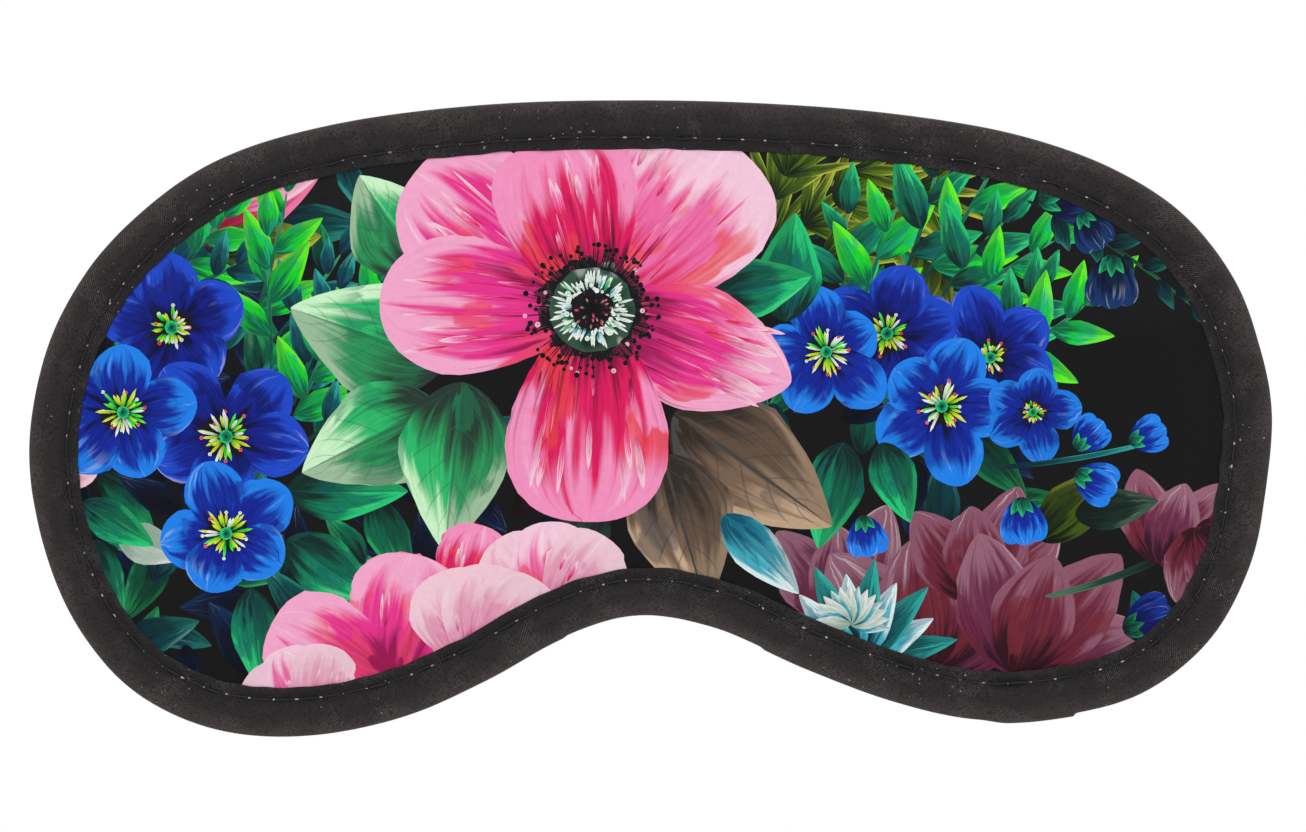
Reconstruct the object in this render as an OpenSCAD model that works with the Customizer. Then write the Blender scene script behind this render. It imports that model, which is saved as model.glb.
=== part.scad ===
// Padded sleep mask with a printed front, a bound edge and an adjustable elastic strap.
// It stands upright, as it is worn: the front looks along -Y, the wearer's face rests on the plane y = 0,
// +Z is up and +X is to the right of someone who looks at the front.
// The origin is in the middle of the cushion that rests on the face.

/* [Mask layers] */
// Thickness of the printed front fabric
cover_t = 0.4; // [0.3:0.1:0.6]
// Thickness of the light-blocking layer behind it
blackout_t = 0.3; // [0.2:0.1:0.5]
// Thickness of the foam in the middle of the mask
foam_t = 5; // [4:0.5:8]
// Thickness to which the binding crushes the foam at the edge
crushed_t = 1.4; // [1:0.1:2]
// Thickness of the soft lining against the face
lining_t = 0.6; // [0.4:0.1:1]

/* [Edge binding] */
// Width of the binding that shows on each side of the mask
binding_w = 8; // [7:0.5:8]
// Thickness of the folded binding tape
binding_t = 0.6; // [0.4:0.1:0.8]

/* [Topstitching] */
// Distance of the stitch line from the mask's outer edge
stitch_inset = 6.2; // [4:0.1:7]
// Number of stitches round the mask
stitch_count = 128; // [100:1:132]
// Length of one stitch
stitch_l = 3.1; // [2:0.1:3.3]
// Thickness of the sewing thread
thread_d = 0.35; // [0.2:0.05:0.5]

/* [Strap] */
// Width of the elastic strap
strap_w = 20; // [15:1:22]
// Thickness of the elastic strap
strap_t = 1.2; // [1:0.1:1.2]
// Distance of each side of the strap from the middle of the mask
strap_x = 93; // [92.5:0.1:93.5]
// Height of the strap's middle above the origin
strap_z = -2; // [-4:1:2]
// Distance behind the mask over which the strap runs straight
straight_l = 80; // [80:1:90]
// Depth of the strap's round back behind its straight sides
back_depth = 45; // [40:1:60]

/* [Ring and slider] */
// Diameter of the bars of the ring and of the slider
bar_d = 2; // [2:0.1:2.1]
// Distance of the ring's front bar behind the face plane
ring_y = 12; // [12:0.5:13]
// Distance between the ring's two long bars
ring_pitch = 7; // [7:0.5:7.5]
// Distance of the slider's middle bar behind the face plane
slider_y = 40; // [39.5:0.5:41]
// Distance between neighbouring bars of the slider
slider_pitch = 5; // [5:0.1:5.4]

/* [Hidden] */

// Clearance between neighbouring pieces that touch on the real mask
gap = 0.02;
// Height by which a cutting solid passes the faces that it cuts
past = 1;

// Mask outline, clockwise from the top middle as seen from the front: [x, z]
outline_points = [
    [0, 52.6], [24, 51.8], [44, 49.9], [61, 46.8], [76, 41.5], [88, 33.8], [96.5, 23], [100.8, 11.5],
    [102.7, 1], [101.8, -11], [99.2, -24], [92.5, -36.5], [81.5, -45.3], [68, -49.1], [54, -49.8],
    [40, -46.8], [25, -41.2], [11, -35], [-2, -32.8], [-14, -36.2], [-27, -43.3], [-41, -49.4],
    [-57, -52.5], [-72, -51.4], [-85, -45.4], [-94, -35.5], [-99.6, -23.5], [-102.6, -9],
    [-101.7, 4], [-97.5, 17], [-88.5, 30], [-73, 42], [-53, 48.5], [-27, 51.9]
];
// Number of straight sides that stand for the smooth outline
outline_sides = 120;
// Points of the spline between two outline points
spline_steps = 10;

// The foam's steps up from its crushed edge: [distance in from the mask's edge, share of the full rise]
foam_steps = [[0.7, 0], [11.2, 1 / 3], [13.2, 2 / 3], [15.7, 1]];

// Y of the foam's middle plane
mid_y = -(lining_t + foam_t / 2);
// Distances of the binding's outer faces from that plane
front_reach = crushed_t / 2 + blackout_t + cover_t + binding_t;
back_reach = crushed_t / 2 + lining_t + binding_t;

// Thread lies on the binding, and a stitch is a bar between two needle holes
stitch_y_front = mid_y - front_reach - thread_d / 2 - gap;
stitch_y_back = mid_y + back_reach + thread_d / 2 + gap;

// The strap's ends lie in pockets under the binding's back leg
tail_y = mid_y + crushed_t / 2 + lining_t + gap + strap_t / 2;
tail_end_x = 99.8;
// Room round the strap's end in its pocket, and the pocket's wall
pocket_room = 0.2;
pocket_wall = 1;
pocket_h = strap_w + 2 * pocket_room;
pocket_end_x = tail_end_x + pocket_room;
// The pocket is open towards the middle of the mask, from here on
pocket_turn_r = 1;
pocket_mouth_x = strap_x + pocket_turn_r;
// Y of the pocket's floor and of the inside of its roof
pocket_floor_y = tail_y - strap_t / 2 - gap;
pocket_top_y = tail_y + strap_t / 2 + gap;

// Radii of middle lines of webbing that goes round a bar
bar_r = bar_d / 2;
snug_r = bar_r + 0.1 + strap_t / 2;
// The strap's fold round the ring's rear bar is loose, so that the ring can tilt
loose_r = bar_r + 1.1 + strap_t / 2;
// Round the slider's outer bars, and over the sewn loop on its middle bar
weave_r = bar_r + 0.25 + strap_t / 2;
over_r = slider_pitch - weave_r;
doubled_r = slider_pitch - snug_r;

// Places of the bars on the left side: [x, y]
ring_front = [-strap_x, ring_y];
ring_rear = [-strap_x, ring_y + ring_pitch];
slider_x = -strap_x - weave_r;
slider_bars = [for (k = [-1, 0, 1]) [slider_x, slider_y + k * slider_pitch]];
// Inner height of the ring's and the slider's slots
slot_h = strap_w + 2;

// Y where the strap's front runs end and its rear runs begin
cut_y = 48;
// Length of straight strap at each end of its round back
back_end_l = 1;
// Y where the doubled layer ends and the sewn loop begins, and where the loop's tail ends
lap_y = slider_y - 9;
// The sewn tail lies on the doubled layer, and leaves the middle bar at this Y
tail_x = slider_x + doubled_r + strap_t + gap;
tail_bar_y = slider_y - 2.4;
// Half of the angle left open between the two layers where the fold round the ring is divided
fold_gap_angle = 2;
// Distance behind the ring's rear bar over which the two layers of the strap close up
closing_l = 8;
// Distance in front of the ring's front bar at which the tab's layers meet
tab_meet_l = 5;
// Y of the tab's sewn end
tab_end_y = 1.6;

// Rows of thread in a bar tack, their pitch, and their distance from the edges of the webbing
tack_rows = 4;
tack_pitch = 1;
tack_margin = 1.5;

// ---- Curves -------------------------------------------------------------------------------------

// Point on the Catmull-Rom curve between b and c
function spline_point(a, b, c, d, t) =
    (2 * b + (c - a) * t + (2 * a - 5 * b + 4 * c - d) * t * t + (3 * b - a - 3 * c + d) * t * t * t) / 2;

// Closed smooth curve through the points p
function closed_spline(p, steps) = [
    for (i = [0:len(p) - 1], k = [0:steps - 1])
        spline_point(
            p[(i + len(p) - 1) % len(p)], p[i], p[(i + 1) % len(p)], p[(i + 2) % len(p)], k / steps
        )
];

// Length along a closed curve at each of its points, and at its first point again
function lengths(p) = [
    for (i = 0, s = 0; i <= len(p); s = s + norm(p[(i + 1) % len(p)] - p[i % len(p)]), i = i + 1) s
];

// Closed curve that can be read by length: [its length, lengths against x, lengths against z]
function measured(p) =
    let (s = lengths(p), n = len(p)) [
        s[n],
        [for (i = [0:n]) [s[i], p[i % n][0]]],
        [for (i = [0:n]) [s[i], p[i % n][1]]]
    ];

// Point of a measured curve at length s, and the unit direction there
function on(curve, s) =
    let (w = s - floor(s / curve[0]) * curve[0]) [lookup(w, curve[1]), lookup(w, curve[2])];
function along(curve, s) =
    let (d = on(curve, s + 2) - on(curve, s - 2)) d / norm(d);

outline = measured(closed_spline(outline_points, spline_steps));

// Outline at an even spacing, moved inwards by a distance
function inset_outline(inset, sides = outline_sides) = [
    for (i = [0:sides - 1])
        let (s = i * outline[0] / sides, d = along(outline, s)) on(outline, s) + inset * [d[1], -d[0]]
];

stitch_line = measured(inset_outline(stitch_inset, 2 * outline_sides));

// Arc of points round a centre
function arc(centre, r, from, to, steps = 10) = [
    for (k = [0:steps]) let (a = from + (to - from) * k / steps) centre + r * [cos(a), sin(a)]
];

// Unit direction of a path at its point i
function path_direction(p, i) =
    let (d = p[min(i + 1, len(p) - 1)] - p[max(i - 1, 0)]) d / norm(d);

// Path moved sideways by a distance
function beside(p, distance) = [
    for (i = [0:len(p) - 1]) let (d = path_direction(p, i)) p[i] + distance * [-d[1], d[0]]
];

function reversed(p) = [for (i = [len(p) - 1:-1:0]) p[i]];

// ---- Building blocks ----------------------------------------------------------------------------

// Plate in the mask's plane between two Y values, its edge inset from the mask's outline
module plate(inset, y_from, y_to) {
    translate([0, y_to, 0])
        rotate([90, 0, 0])
            linear_extrude(y_to - y_from)
                polygon(inset_outline(inset));
}

// Half-thickness of the foam on one of its steps
function foam_half(step) = crushed_t / 2 + step[1] * (foam_t - crushed_t) / 2;

// Solid between the foam's middle plane and a surface that lies a distance outside the foam
module mound(side, out, edge_inset) {
    for (i = [0:len(foam_steps) - 1]) {
        reach = foam_half(foam_steps[i]) + out;
        plate(
            i == 0 ? edge_inset : foam_steps[i][0] - out,
            mid_y + min(0, side * reach),
            mid_y + max(0, side * reach)
        );
    }
}

// Layer over one side of the foam, between two distances outside it
module layer(side, from, to) {
    difference() {
        mound(side, to, foam_steps[0][0]);
        mound(side, from, -past);
        plate(-past, mid_y - past / 10, mid_y + past / 10);
    }
}

// Band of webbing that stands on its edge along a path in the XY plane
module webbing(path, width = strap_w) {
    translate([0, 0, strap_z - width / 2])
        linear_extrude(width)
            polygon(concat(beside(path, strap_t / 2), reversed(beside(path, -strap_t / 2))));
}

// Path from a pocket under the binding to a straight run along +Y, on the left side
function out_of_pocket(end_x, x) = concat(
    [[-end_x, tail_y]],
    arc([-x - pocket_turn_r, tail_y + pocket_turn_r], pocket_turn_r, -90, 0, 6)
);

// Left run of the strap from its rear end, through the slider and into the fold round the ring
outer_run = concat(
    [[-strap_x, cut_y - gap]],
    arc(slider_bars[2], weave_r, 0, -81, 8),
    arc(slider_bars[1], over_r, 90, 270, 24),
    arc(slider_bars[0], weave_r, 81, 0, 8),
    [[-strap_x, ring_rear[1] + closing_l]],
    arc(ring_rear, loose_r, 160, 270 - fold_gap_angle, 10)
);

// Inner layer from the fold round the ring back to the sewn loop
inner_run = concat(
    arc(ring_rear, loose_r, 270 + fold_gap_angle, 370, 10),
    [[slider_x + doubled_r, ring_rear[1] + closing_l], [slider_x + doubled_r, lap_y - gap]]
);

// Sewn loop round the slider's middle bar, and its tail on the head side of the doubled layer
end_loop_run = concat(
    [[slider_x + doubled_r, lap_y]],
    arc(slider_bars[0], doubled_r, 0, 88, 10),
    arc(slider_bars[1], snug_r, 264, 45, 24),
    [[tail_x, tail_bar_y], [tail_x, lap_y]]
);

// Bar along Z at a place in plan, from one side bar's middle to the other's
module upright_bar(place) {
    translate([place[0], place[1], strap_z - slot_h / 2 - bar_r])
        cylinder(d = bar_d, h = slot_h + bar_d, $fn = 32);
}

// Frame of round bar about the strap, between two places on one line along Y
module bar_frame(first, last) {
    half = slot_h / 2 + bar_r;
    for (place = [first, last], side = [-1, 1])
        translate([place[0], place[1], strap_z + side * half])
            sphere(d = bar_d, $fn = 32);
    for (place = [first, last])
        upright_bar(place);
    for (side = [-1, 1])
        translate([first[0], first[1], strap_z + side * half])
            rotate([-90, 0, 0])
                cylinder(d = bar_d, h = last[1] - first[1], $fn = 32);
}

// Stitch height above the plain binding where the line crosses a pocket's raised roof
function over_pocket(point) =
    abs(point[1] - strap_z) < pocket_h / 2 + pocket_wall + stitch_l / 2 ? strap_t + 2 * gap : 0;

// Row of separate stitches round the mask, a half stitch out of step on the back
module stitch_row(y, phase, lifted) {
    for (i = [0:stitch_count - 1]) {
        s = (i + phase) * stitch_line[0] / stitch_count;
        point = on(stitch_line, s);
        direction = along(stitch_line, s);
        translate([point[0], y + (lifted ? over_pocket(point) : 0), point[1]])
            rotate([0, -atan2(direction[1], direction[0]), 0])
                cube([stitch_l, thread_d, thread_d], center = true);
    }
}

// Block of parallel stitches across a strap, on one face of it
module bar_tack(x, y_from) {
    for (k = [0:tack_rows - 1])
        translate([x, y_from + k * tack_pitch, strap_z])
            cube([thread_d, thread_d, strap_w - 2 * tack_margin], center = true);
}

// Block about each end of the strap, on both sides of the mask
module at_pockets(x_from, x_to, y_from, y_to, height) {
    for (side = [-1, 1])
        translate([side * (x_from + x_to) / 2, (y_from + y_to) / 2, strap_z])
            cube([x_to - x_from, y_to - y_from, height], center = true);
}

// ---- Sub-parts ----------------------------------------------------------------------------------

module front_cover() {
    color("#1a1a1e")
        layer(-1, blackout_t + gap, blackout_t + cover_t);
}

module blackout_layer() {
    color("#303036")
        layer(-1, gap, blackout_t);
}

module foam_pad() {
    color("#e9e4d2")
        for (step = foam_steps)
            plate(step[0], mid_y - foam_half(step), mid_y + foam_half(step));
}

module back_lining() {
    color("#141416")
        layer(1, gap, lining_t);
}

// U-shaped band round the edge, with a raised pocket on its back leg over each end of the strap
module edge_binding() {
    back_y = mid_y + back_reach;
    roof_y = pocket_top_y + binding_t;
    inner_x = strap_x - strap_t;
    outer_x = pocket_end_x + pocket_wall;
    color("#282526")
        difference() {
            union() {
                plate(0, mid_y - front_reach, back_y);
                intersection() {
                    plate(0, pocket_floor_y, roof_y);
                    at_pockets(inner_x, outer_x, pocket_floor_y, roof_y, pocket_h + 2 * pocket_wall);
                }
            }
            plate(binding_t, mid_y - front_reach + binding_t - gap, back_y - binding_t + gap);
            plate(binding_w, mid_y - front_reach - past, roof_y + past);
            at_pockets(inner_x - past, pocket_end_x, pocket_floor_y, pocket_top_y, pocket_h);
            at_pockets(inner_x - past, pocket_mouth_x, pocket_floor_y, roof_y + past, pocket_h);
        }
}

module binding_stitch_front() {
    color("#0e0e10")
        stitch_row(stitch_y_front, 0, false);
}

module binding_stitch_back() {
    color("#0e0e10")
        stitch_row(stitch_y_back, 0.5, true);
}

// Short tab from the left pocket, round the ring's front bar and back onto itself
module strap_tab() {
    color("#19191b")
        webbing(concat(
            out_of_pocket(tail_end_x, strap_x),
            [[-strap_x, ring_y - tab_meet_l]],
            arc(ring_front, snug_r, 200, -6, 20),
            [[-strap_x + strap_t + gap, ring_y - tab_meet_l], [-strap_x + strap_t + gap, tab_end_y]]
        ));
}

module tab_stitch() {
    color("#0e0e10")
        bar_tack(-strap_x + 1.5 * strap_t + 2 * gap + thread_d / 2, tab_end_y + tack_pitch);
}

module strap_ring() {
    color("#1d1d20")
        bar_frame(ring_front, ring_rear);
}

module strap_slider() {
    color("#1d1d20") {
        bar_frame(slider_bars[0], slider_bars[2]);
        upright_bar(slider_bars[1]);
    }
}

module strap_end_loop() {
    color("#19191b")
        webbing(end_loop_run);
}

module strap_end_stitch() {
    color("#0e0e10")
        bar_tack(tail_x + strap_t / 2 + gap + thread_d / 2, lap_y + tack_pitch);
}

module strap_doubled_layer() {
    color("#19191b")
        webbing(inner_run);
}

module strap_left_front() {
    color("#19191b")
        webbing(outer_run);
}

// Straight run between the front and the back of the strap, on one side
module rear_run(side) {
    webbing([[side * strap_x, cut_y], [side * strap_x, straight_l - back_end_l - gap]]);
}

module strap_left_rear() {
    color("#19191b")
        rear_run(-1);
}

module strap_right_rear() {
    color("#19191b")
        rear_run(1);
}

// Half ellipse round the back of the head
module strap_back() {
    color("#19191b")
        webbing(concat(
            [[strap_x, straight_l - back_end_l]],
            [for (a = [0:3.75:180]) [strap_x * cos(a), straight_l + back_depth * sin(a)]],
            [[-strap_x, straight_l - back_end_l]]
        ));
}

module strap_right_front() {
    color("#19191b")
        mirror([1, 0, 0])
            webbing(concat(out_of_pocket(tail_end_x, strap_x), [[-strap_x, cut_y - gap]]));
}

front_cover();
blackout_layer();
foam_pad();
back_lining();
edge_binding();
binding_stitch_front();
binding_stitch_back();
strap_tab();
tab_stitch();
strap_ring();
strap_slider();
strap_end_loop();
strap_end_stitch();
strap_doubled_layer();
strap_left_front();
strap_left_rear();
strap_back();
strap_right_rear();
strap_right_front();
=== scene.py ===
"""Looks of a padded sleep mask: printed front, bound and topstitched edge, elastic strap.

Shapes are worked out in millimetres in the row frame, where the front looks along -Y, and become metres when
a mesh is made. Points in the mask's plane are [x, z].
"""

import math

import bpy
import numpy as np
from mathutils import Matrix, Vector
from mathutils.bvhtree import BVHTree
from mathutils.geometry import delaunay_2d_cdt


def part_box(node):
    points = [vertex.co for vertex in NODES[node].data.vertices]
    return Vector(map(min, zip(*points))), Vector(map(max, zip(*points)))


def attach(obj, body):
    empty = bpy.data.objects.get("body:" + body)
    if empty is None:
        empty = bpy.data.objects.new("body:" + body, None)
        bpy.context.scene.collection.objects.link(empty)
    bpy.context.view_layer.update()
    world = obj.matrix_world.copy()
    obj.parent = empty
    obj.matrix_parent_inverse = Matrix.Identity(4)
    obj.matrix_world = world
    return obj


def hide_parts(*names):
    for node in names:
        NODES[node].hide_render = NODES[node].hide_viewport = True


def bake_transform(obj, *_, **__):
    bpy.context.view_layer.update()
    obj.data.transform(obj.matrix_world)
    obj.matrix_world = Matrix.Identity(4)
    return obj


MM = 0.001
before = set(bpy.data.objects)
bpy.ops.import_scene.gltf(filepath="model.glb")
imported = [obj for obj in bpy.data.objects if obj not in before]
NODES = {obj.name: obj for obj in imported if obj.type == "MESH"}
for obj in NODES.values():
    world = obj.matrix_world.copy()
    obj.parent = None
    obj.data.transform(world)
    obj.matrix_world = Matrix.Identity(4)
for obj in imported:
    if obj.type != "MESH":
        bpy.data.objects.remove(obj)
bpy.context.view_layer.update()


def box_mm(node):
    """Lowest and highest corner of a CAD node, in millimetres."""
    low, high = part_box(node)
    return np.array(low) / MM, np.array(high) / MM


# ---- Sizes, in millimetres ---------------------------------------------------------------------------

STITCH_INSET = 6.2
STITCHES = 128
COVER_T = 0.4
BLACKOUT_T = 0.3
LINING_T = 0.6
CRUSHED_T = 1.4
FOAM_LOW, FOAM_HIGH = box_mm("foam_pad")
FOAM_RISE = (FOAM_HIGH[1] - FOAM_LOW[1] - CRUSHED_T) / 2
# Y of the foam's middle plane, and of the crushed edge's faces in front of it and behind it
MID_Y = (FOAM_LOW[1] + FOAM_HIGH[1]) / 2
FRONT_EDGE_Y = MID_Y - CRUSHED_T / 2 - BLACKOUT_T - COVER_T
BACK_EDGE_Y = MID_Y + CRUSHED_T / 2 + LINING_T
# Distance from the edge at which the foam starts to swell, and the width of its slope
SWELL_START = 6.4
SWELL_W = 8.5
# Crown of the inflated cover above the foam's own rise, and the share of it on the face side
CROWN = 0.9
BACK_CROWN = 0.25


# ---- Curves ------------------------------------------------------------------------------------------

def smooth(t):
    """Smooth step from 0 to 1."""
    t = np.clip(t, 0.0, 1.0)
    return t * t * (3 - 2 * t)


def spline(points, steps, closed=True):
    """Catmull-Rom curve through the points."""
    p = np.asarray(points, float)
    if closed:
        before, after, beyond = np.roll(p, 1, 0), np.roll(p, -1, 0), np.roll(p, -2, 0)
    else:
        before = np.vstack([2 * p[0] - p[1], p[:-2]])
        after = p[1:]
        beyond = np.vstack([p[2:], 2 * p[-1] - p[-2]])
        last, p = p[-1:], p[:-1]
    t = np.arange(steps)[None, :, None] / steps
    a, b, c, d = (q[:, None, :] for q in (before, p, after, beyond))
    curve = (2 * b + (c - a) * t + (2 * a - 5 * b + 4 * c - d) * t**2 + (3 * b - a - 3 * c + d) * t**3) / 2
    curve = curve.reshape(-1, p.shape[1])
    return curve if closed else np.vstack([curve, last])


def running_length(path):
    """Length along a path at each of its points."""
    return np.concatenate([[0.0], np.cumsum(np.linalg.norm(np.diff(path, axis=0), axis=1))])


def distance_to(targets, points):
    """Distance of each point from the nearest of the targets."""
    found = [np.min(np.linalg.norm(part[:, None] - targets[None], axis=2), axis=1)
             for part in np.array_split(points, len(points) // 800 + 1)]
    return np.concatenate(found)


class ClosedCurve:
    """Closed curve in the mask's plane that is read by length."""

    def __init__(self, points):
        self.points = np.vstack([points, points[:1]])
        self.s = running_length(self.points)
        self.length = self.s[-1]

    def at(self, s):
        w = np.mod(s, self.length)
        return np.stack([np.interp(w, self.s, self.points[:, k]) for k in (0, 1)], -1)

    def along(self, s, reach=1.5):
        d = self.at(s + reach) - self.at(s - reach)
        return d / np.linalg.norm(d, axis=-1, keepdims=True)

    def inward(self, s):
        d = self.along(s)
        return np.stack([d[..., 1], -d[..., 0]], -1)

    def inset(self, distance, count):
        s = np.arange(count) * self.length / count
        return self.at(s) + distance * self.inward(s)


def turned(loop):
    """Twice the area of a loop, above 0 if it runs counter-clockwise."""
    return np.sum(loop[:, 0] * np.roll(loop[:, 1], -1) - np.roll(loop[:, 0], -1) * loop[:, 1])


def outer_loop(node, y):
    """Outline of the flat face that a CAD node has at height y, clockwise as seen from the front."""
    mesh = NODES[node].data
    place = {v.index: tuple(round(c / MM, 3) for c in v.co) for v in mesh.vertices}
    edges = {}
    for face in mesh.polygons:
        corners = [place[i] for i in face.vertices]
        if all(abs(c[1] - y) < 0.01 for c in corners):
            for a, b in zip(corners, corners[1:] + corners[:1]):
                edges[frozenset((a, b))] = edges.get(frozenset((a, b)), 0) + 1
    neighbours = {}
    for edge, uses in edges.items():
        if uses == 1:
            a, b = tuple(edge)
            neighbours.setdefault(a, []).append(b)
            neighbours.setdefault(b, []).append(a)
    start = max(neighbours)
    loop = [start, neighbours[start][0]]
    while True:
        onward = [p for p in neighbours[loop[-1]] if p != loop[-2]][0]
        if onward == start:
            break
        loop.append(onward)
    loop = np.array([[p[0], p[2]] for p in loop])
    return loop if turned(loop) < 0 else loop[::-1]


OUTLINE = ClosedCurve(spline(outer_loop("edge_binding", box_mm("edge_binding")[0][1]), 8))
EDGE_SAMPLES = OUTLINE.at(np.arange(900) * OUTLINE.length / 900)


def from_edge(points):
    """Distance of points inside the mask from its outline."""
    return distance_to(EDGE_SAMPLES, points)


# ---- Meshes ------------------------------------------------------------------------------------------

def make_mesh(name, points, faces):
    """Object made of points in millimetres."""
    mesh = bpy.data.meshes.new(name)
    mesh.from_pydata((np.asarray(points, float) * MM).tolist(), [], faces)
    mesh.update()
    mesh.shade_smooth()
    obj = bpy.data.objects.new(name, mesh)
    bpy.context.scene.collection.objects.link(obj)
    return obj


def set_uv(obj, uv_of_vertex):
    """UV map from one (u, v) per vertex."""
    layer = obj.data.uv_layers.new(name="UVMap")
    corners = np.zeros(len(obj.data.loops), int)
    obj.data.loops.foreach_get("vertex_index", corners)
    layer.data.foreach_set("uv", np.asarray(uv_of_vertex, np.float32)[corners].ravel())


def ring_faces(rings, size, closed):
    """Quads between rings of points that follow each other."""
    i = np.arange(rings if closed else rings - 1)[:, None]
    j = np.arange(size)[None, :]
    a, b = i * size + j, i * size + (j + 1) % size
    c, d = ((i + 1) % rings) * size + (j + 1) % size, ((i + 1) % rings) * size + j
    return np.stack([a, b, c, d], -1).reshape(-1, 4).tolist()


def inside(points, loop):
    """Whether each point lies inside a closed loop."""
    x, z = points[:, 0][:, None], points[:, 1][:, None]
    a, b = loop, np.roll(loop, -1, 0)
    crosses = (a[:, 1] > z) != (b[:, 1] > z)
    with np.errstate(divide="ignore", invalid="ignore"):
        at = a[:, 0] + (z - a[:, 1]) * (b[:, 0] - a[:, 0]) / (b[:, 1] - a[:, 1])
    return np.sum(crosses & (x < at), axis=1) % 2 == 1


def grid_inside(loop, step, margin):
    """Staggered grid of points inside a loop, clear of it by a margin."""
    low, high = loop.min(0), loop.max(0)
    rows = np.arange(low[1], high[1], step * math.sqrt(3) / 2)
    points = [[x + (step / 2 if k % 2 else 0), z]
              for k, z in enumerate(rows) for x in np.arange(low[0], high[0], step)]
    points = np.array(points)
    points = points[inside(points, loop)]
    return points[distance_to(loop, points) > margin]


def triangulate(loops, grid):
    """Constrained Delaunay mesh of closed loops and loose points: points, triangles and each one's loops."""
    points, faces = [], []
    for loop in loops:
        loop = loop if turned(loop) > 0 else loop[::-1]
        faces.append(list(range(len(points), len(points) + len(loop))))
        points.extend(loop)
    points.extend(grid)
    made = delaunay_2d_cdt([Vector(map(float, p)) for p in points], [], faces, 0, 1e-6, True)
    return np.array([tuple(p) for p in made[0]]), np.array(made[2]), made[5]


def slab(name, points, triangles, y_front, y_back):
    """Closed sheet over a triangulated area: its front faces come first, in the order of the triangles."""
    used, triangles = np.unique(triangles, return_inverse=True)
    triangles = triangles.reshape(-1, 3)
    points, y_front, y_back = points[used], y_front[used], y_back[used]
    count = len(points)
    front = np.stack([points[:, 0], y_front, points[:, 1]], -1)
    back = np.stack([points[:, 0], y_back, points[:, 1]], -1)
    edges = {}
    for a, b, c in triangles:
        for edge in ((a, b), (b, c), (c, a)):
            edges[edge] = True
    wall = [(b, a, a + count, b + count) for a, b in edges if (b, a) not in edges]
    rear = (triangles[:, ::-1] + count).tolist()
    return make_mesh(name, np.vstack([front, back]), triangles.tolist() + rear + wall)


# ---- Padded shape ------------------------------------------------------------------------------------

def inflate(loop, step, frames, pressure, slack):
    """Cloth pinned round a loop in the mask's plane and blown towards -Y: [x, rise, z] and its triangles."""
    count = int(ClosedCurve(loop).length / step)
    rim = ClosedCurve(loop).inset(0, count)
    points, triangles, _ = triangulate([rim], grid_inside(rim, step, step * 0.6))
    kept = [t for t in triangles.tolist() if inside(points[t].mean(0)[None], rim)[0]]
    sheet = make_mesh("inflated", np.stack([points[:, 0], 0 * points[:, 0], points[:, 1]], -1), kept)
    pins = sheet.vertex_groups.new(name="pins")
    pins.add([int(i) for i in np.flatnonzero(distance_to(rim, points) < 0.01)], 1.0, "REPLACE")
    normals_up = sheet.data.polygons[0].normal.y > 0
    cloth = sheet.modifiers.new("Cloth", "CLOTH").settings
    cloth.quality = 6
    cloth.mass = 0.2
    cloth.tension_stiffness = cloth.compression_stiffness = cloth.shear_stiffness = 20
    cloth.bending_stiffness = 0.8
    cloth.vertex_group_mass = "pins"
    cloth.shrink_min = -slack
    cloth.use_pressure = True
    cloth.uniform_pressure_force = -pressure if normals_up else pressure
    cloth.effector_weights.gravity = 0
    scene = bpy.context.scene
    for number in range(1, frames + 1):
        scene.frame_set(number)
    shaped = sheet.evaluated_get(bpy.context.evaluated_depsgraph_get()).to_mesh()
    made = np.array([v.co for v in shaped.vertices]) / MM
    scene.frame_set(1)
    bpy.data.objects.remove(sheet)
    return np.stack([points[:, 0], -made[:, 1], points[:, 1]], -1), kept


class Crown:
    """Height of the inflated cloth over any point of the mask's plane, from 0 at the stitches to 1."""

    def __init__(self):
        loop = OUTLINE.inset(STITCH_INSET, 400)
        points, triangles = inflate(loop, 2.4, frames=18, pressure=3.0, slack=0.012)
        points[:, 1] = np.maximum(points[:, 1], 0) / points[:, 1].max()
        self.tree = BVHTree.FromPolygons(points.tolist(), triangles)

    def at(self, points):
        heights = np.zeros(len(points))
        for i, (x, z) in enumerate(points):
            hit = self.tree.ray_cast(Vector((x, 10.0, z)), Vector((0, -1, 0)))[0]
            heights[i] = hit.y if hit else 0.0
        return heights


CROWN_MAP = Crown()
STRAP_LOW, STRAP_HIGH = box_mm("strap_back")
STRAP_W = STRAP_HIGH[2] - STRAP_LOW[2]
STRAP_Z = (STRAP_HIGH[2] + STRAP_LOW[2]) / 2
STRAP_T = 1.2
STRAP_X = STRAP_HIGH[0] - STRAP_T / 2
# The cords that run along the webbing, and its thinner margins
RIB_PITCH = 1.0
RIB_RISE = 0.07
SELVEDGE_W = 0.55
# The strap's sewn ends lie farther out than this, on both sides
STRAP_END_X = 60.0


def at_strap(points, margin):
    """1 at the heights where the strap's ends are sewn in, fading to 0 over a margin."""
    return 1 - smooth((np.abs(points[..., 1] - STRAP_Z) - STRAP_W / 2) / margin)


def at_strap_end(points, margin):
    """1 beside the strap's two sewn ends, fading to 0 above and below them."""
    return at_strap(points, margin) * (np.abs(points[..., 0]) > STRAP_END_X)


def rise(points, depth, back=False):
    """Height of the padding's face above its crushed edge."""
    shift = 2.5 * at_strap_end(points, 5.0) if back else 0.0
    slope = smooth((depth - SWELL_START - shift) / SWELL_W)
    crown = CROWN_MAP.at(points)
    return FOAM_RISE * slope + (BACK_CROWN if back else 1.0) * CROWN * crown * slope


# ---- Materials ---------------------------------------------------------------------------------------

def linear(rgb):
    """Linear colour from 0 to 255 sRGB values."""
    c = np.asarray(rgb, float) / 255
    return np.where(c <= 0.04045, c / 12.92, ((c + 0.055) / 1.055) ** 2.4)


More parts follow.
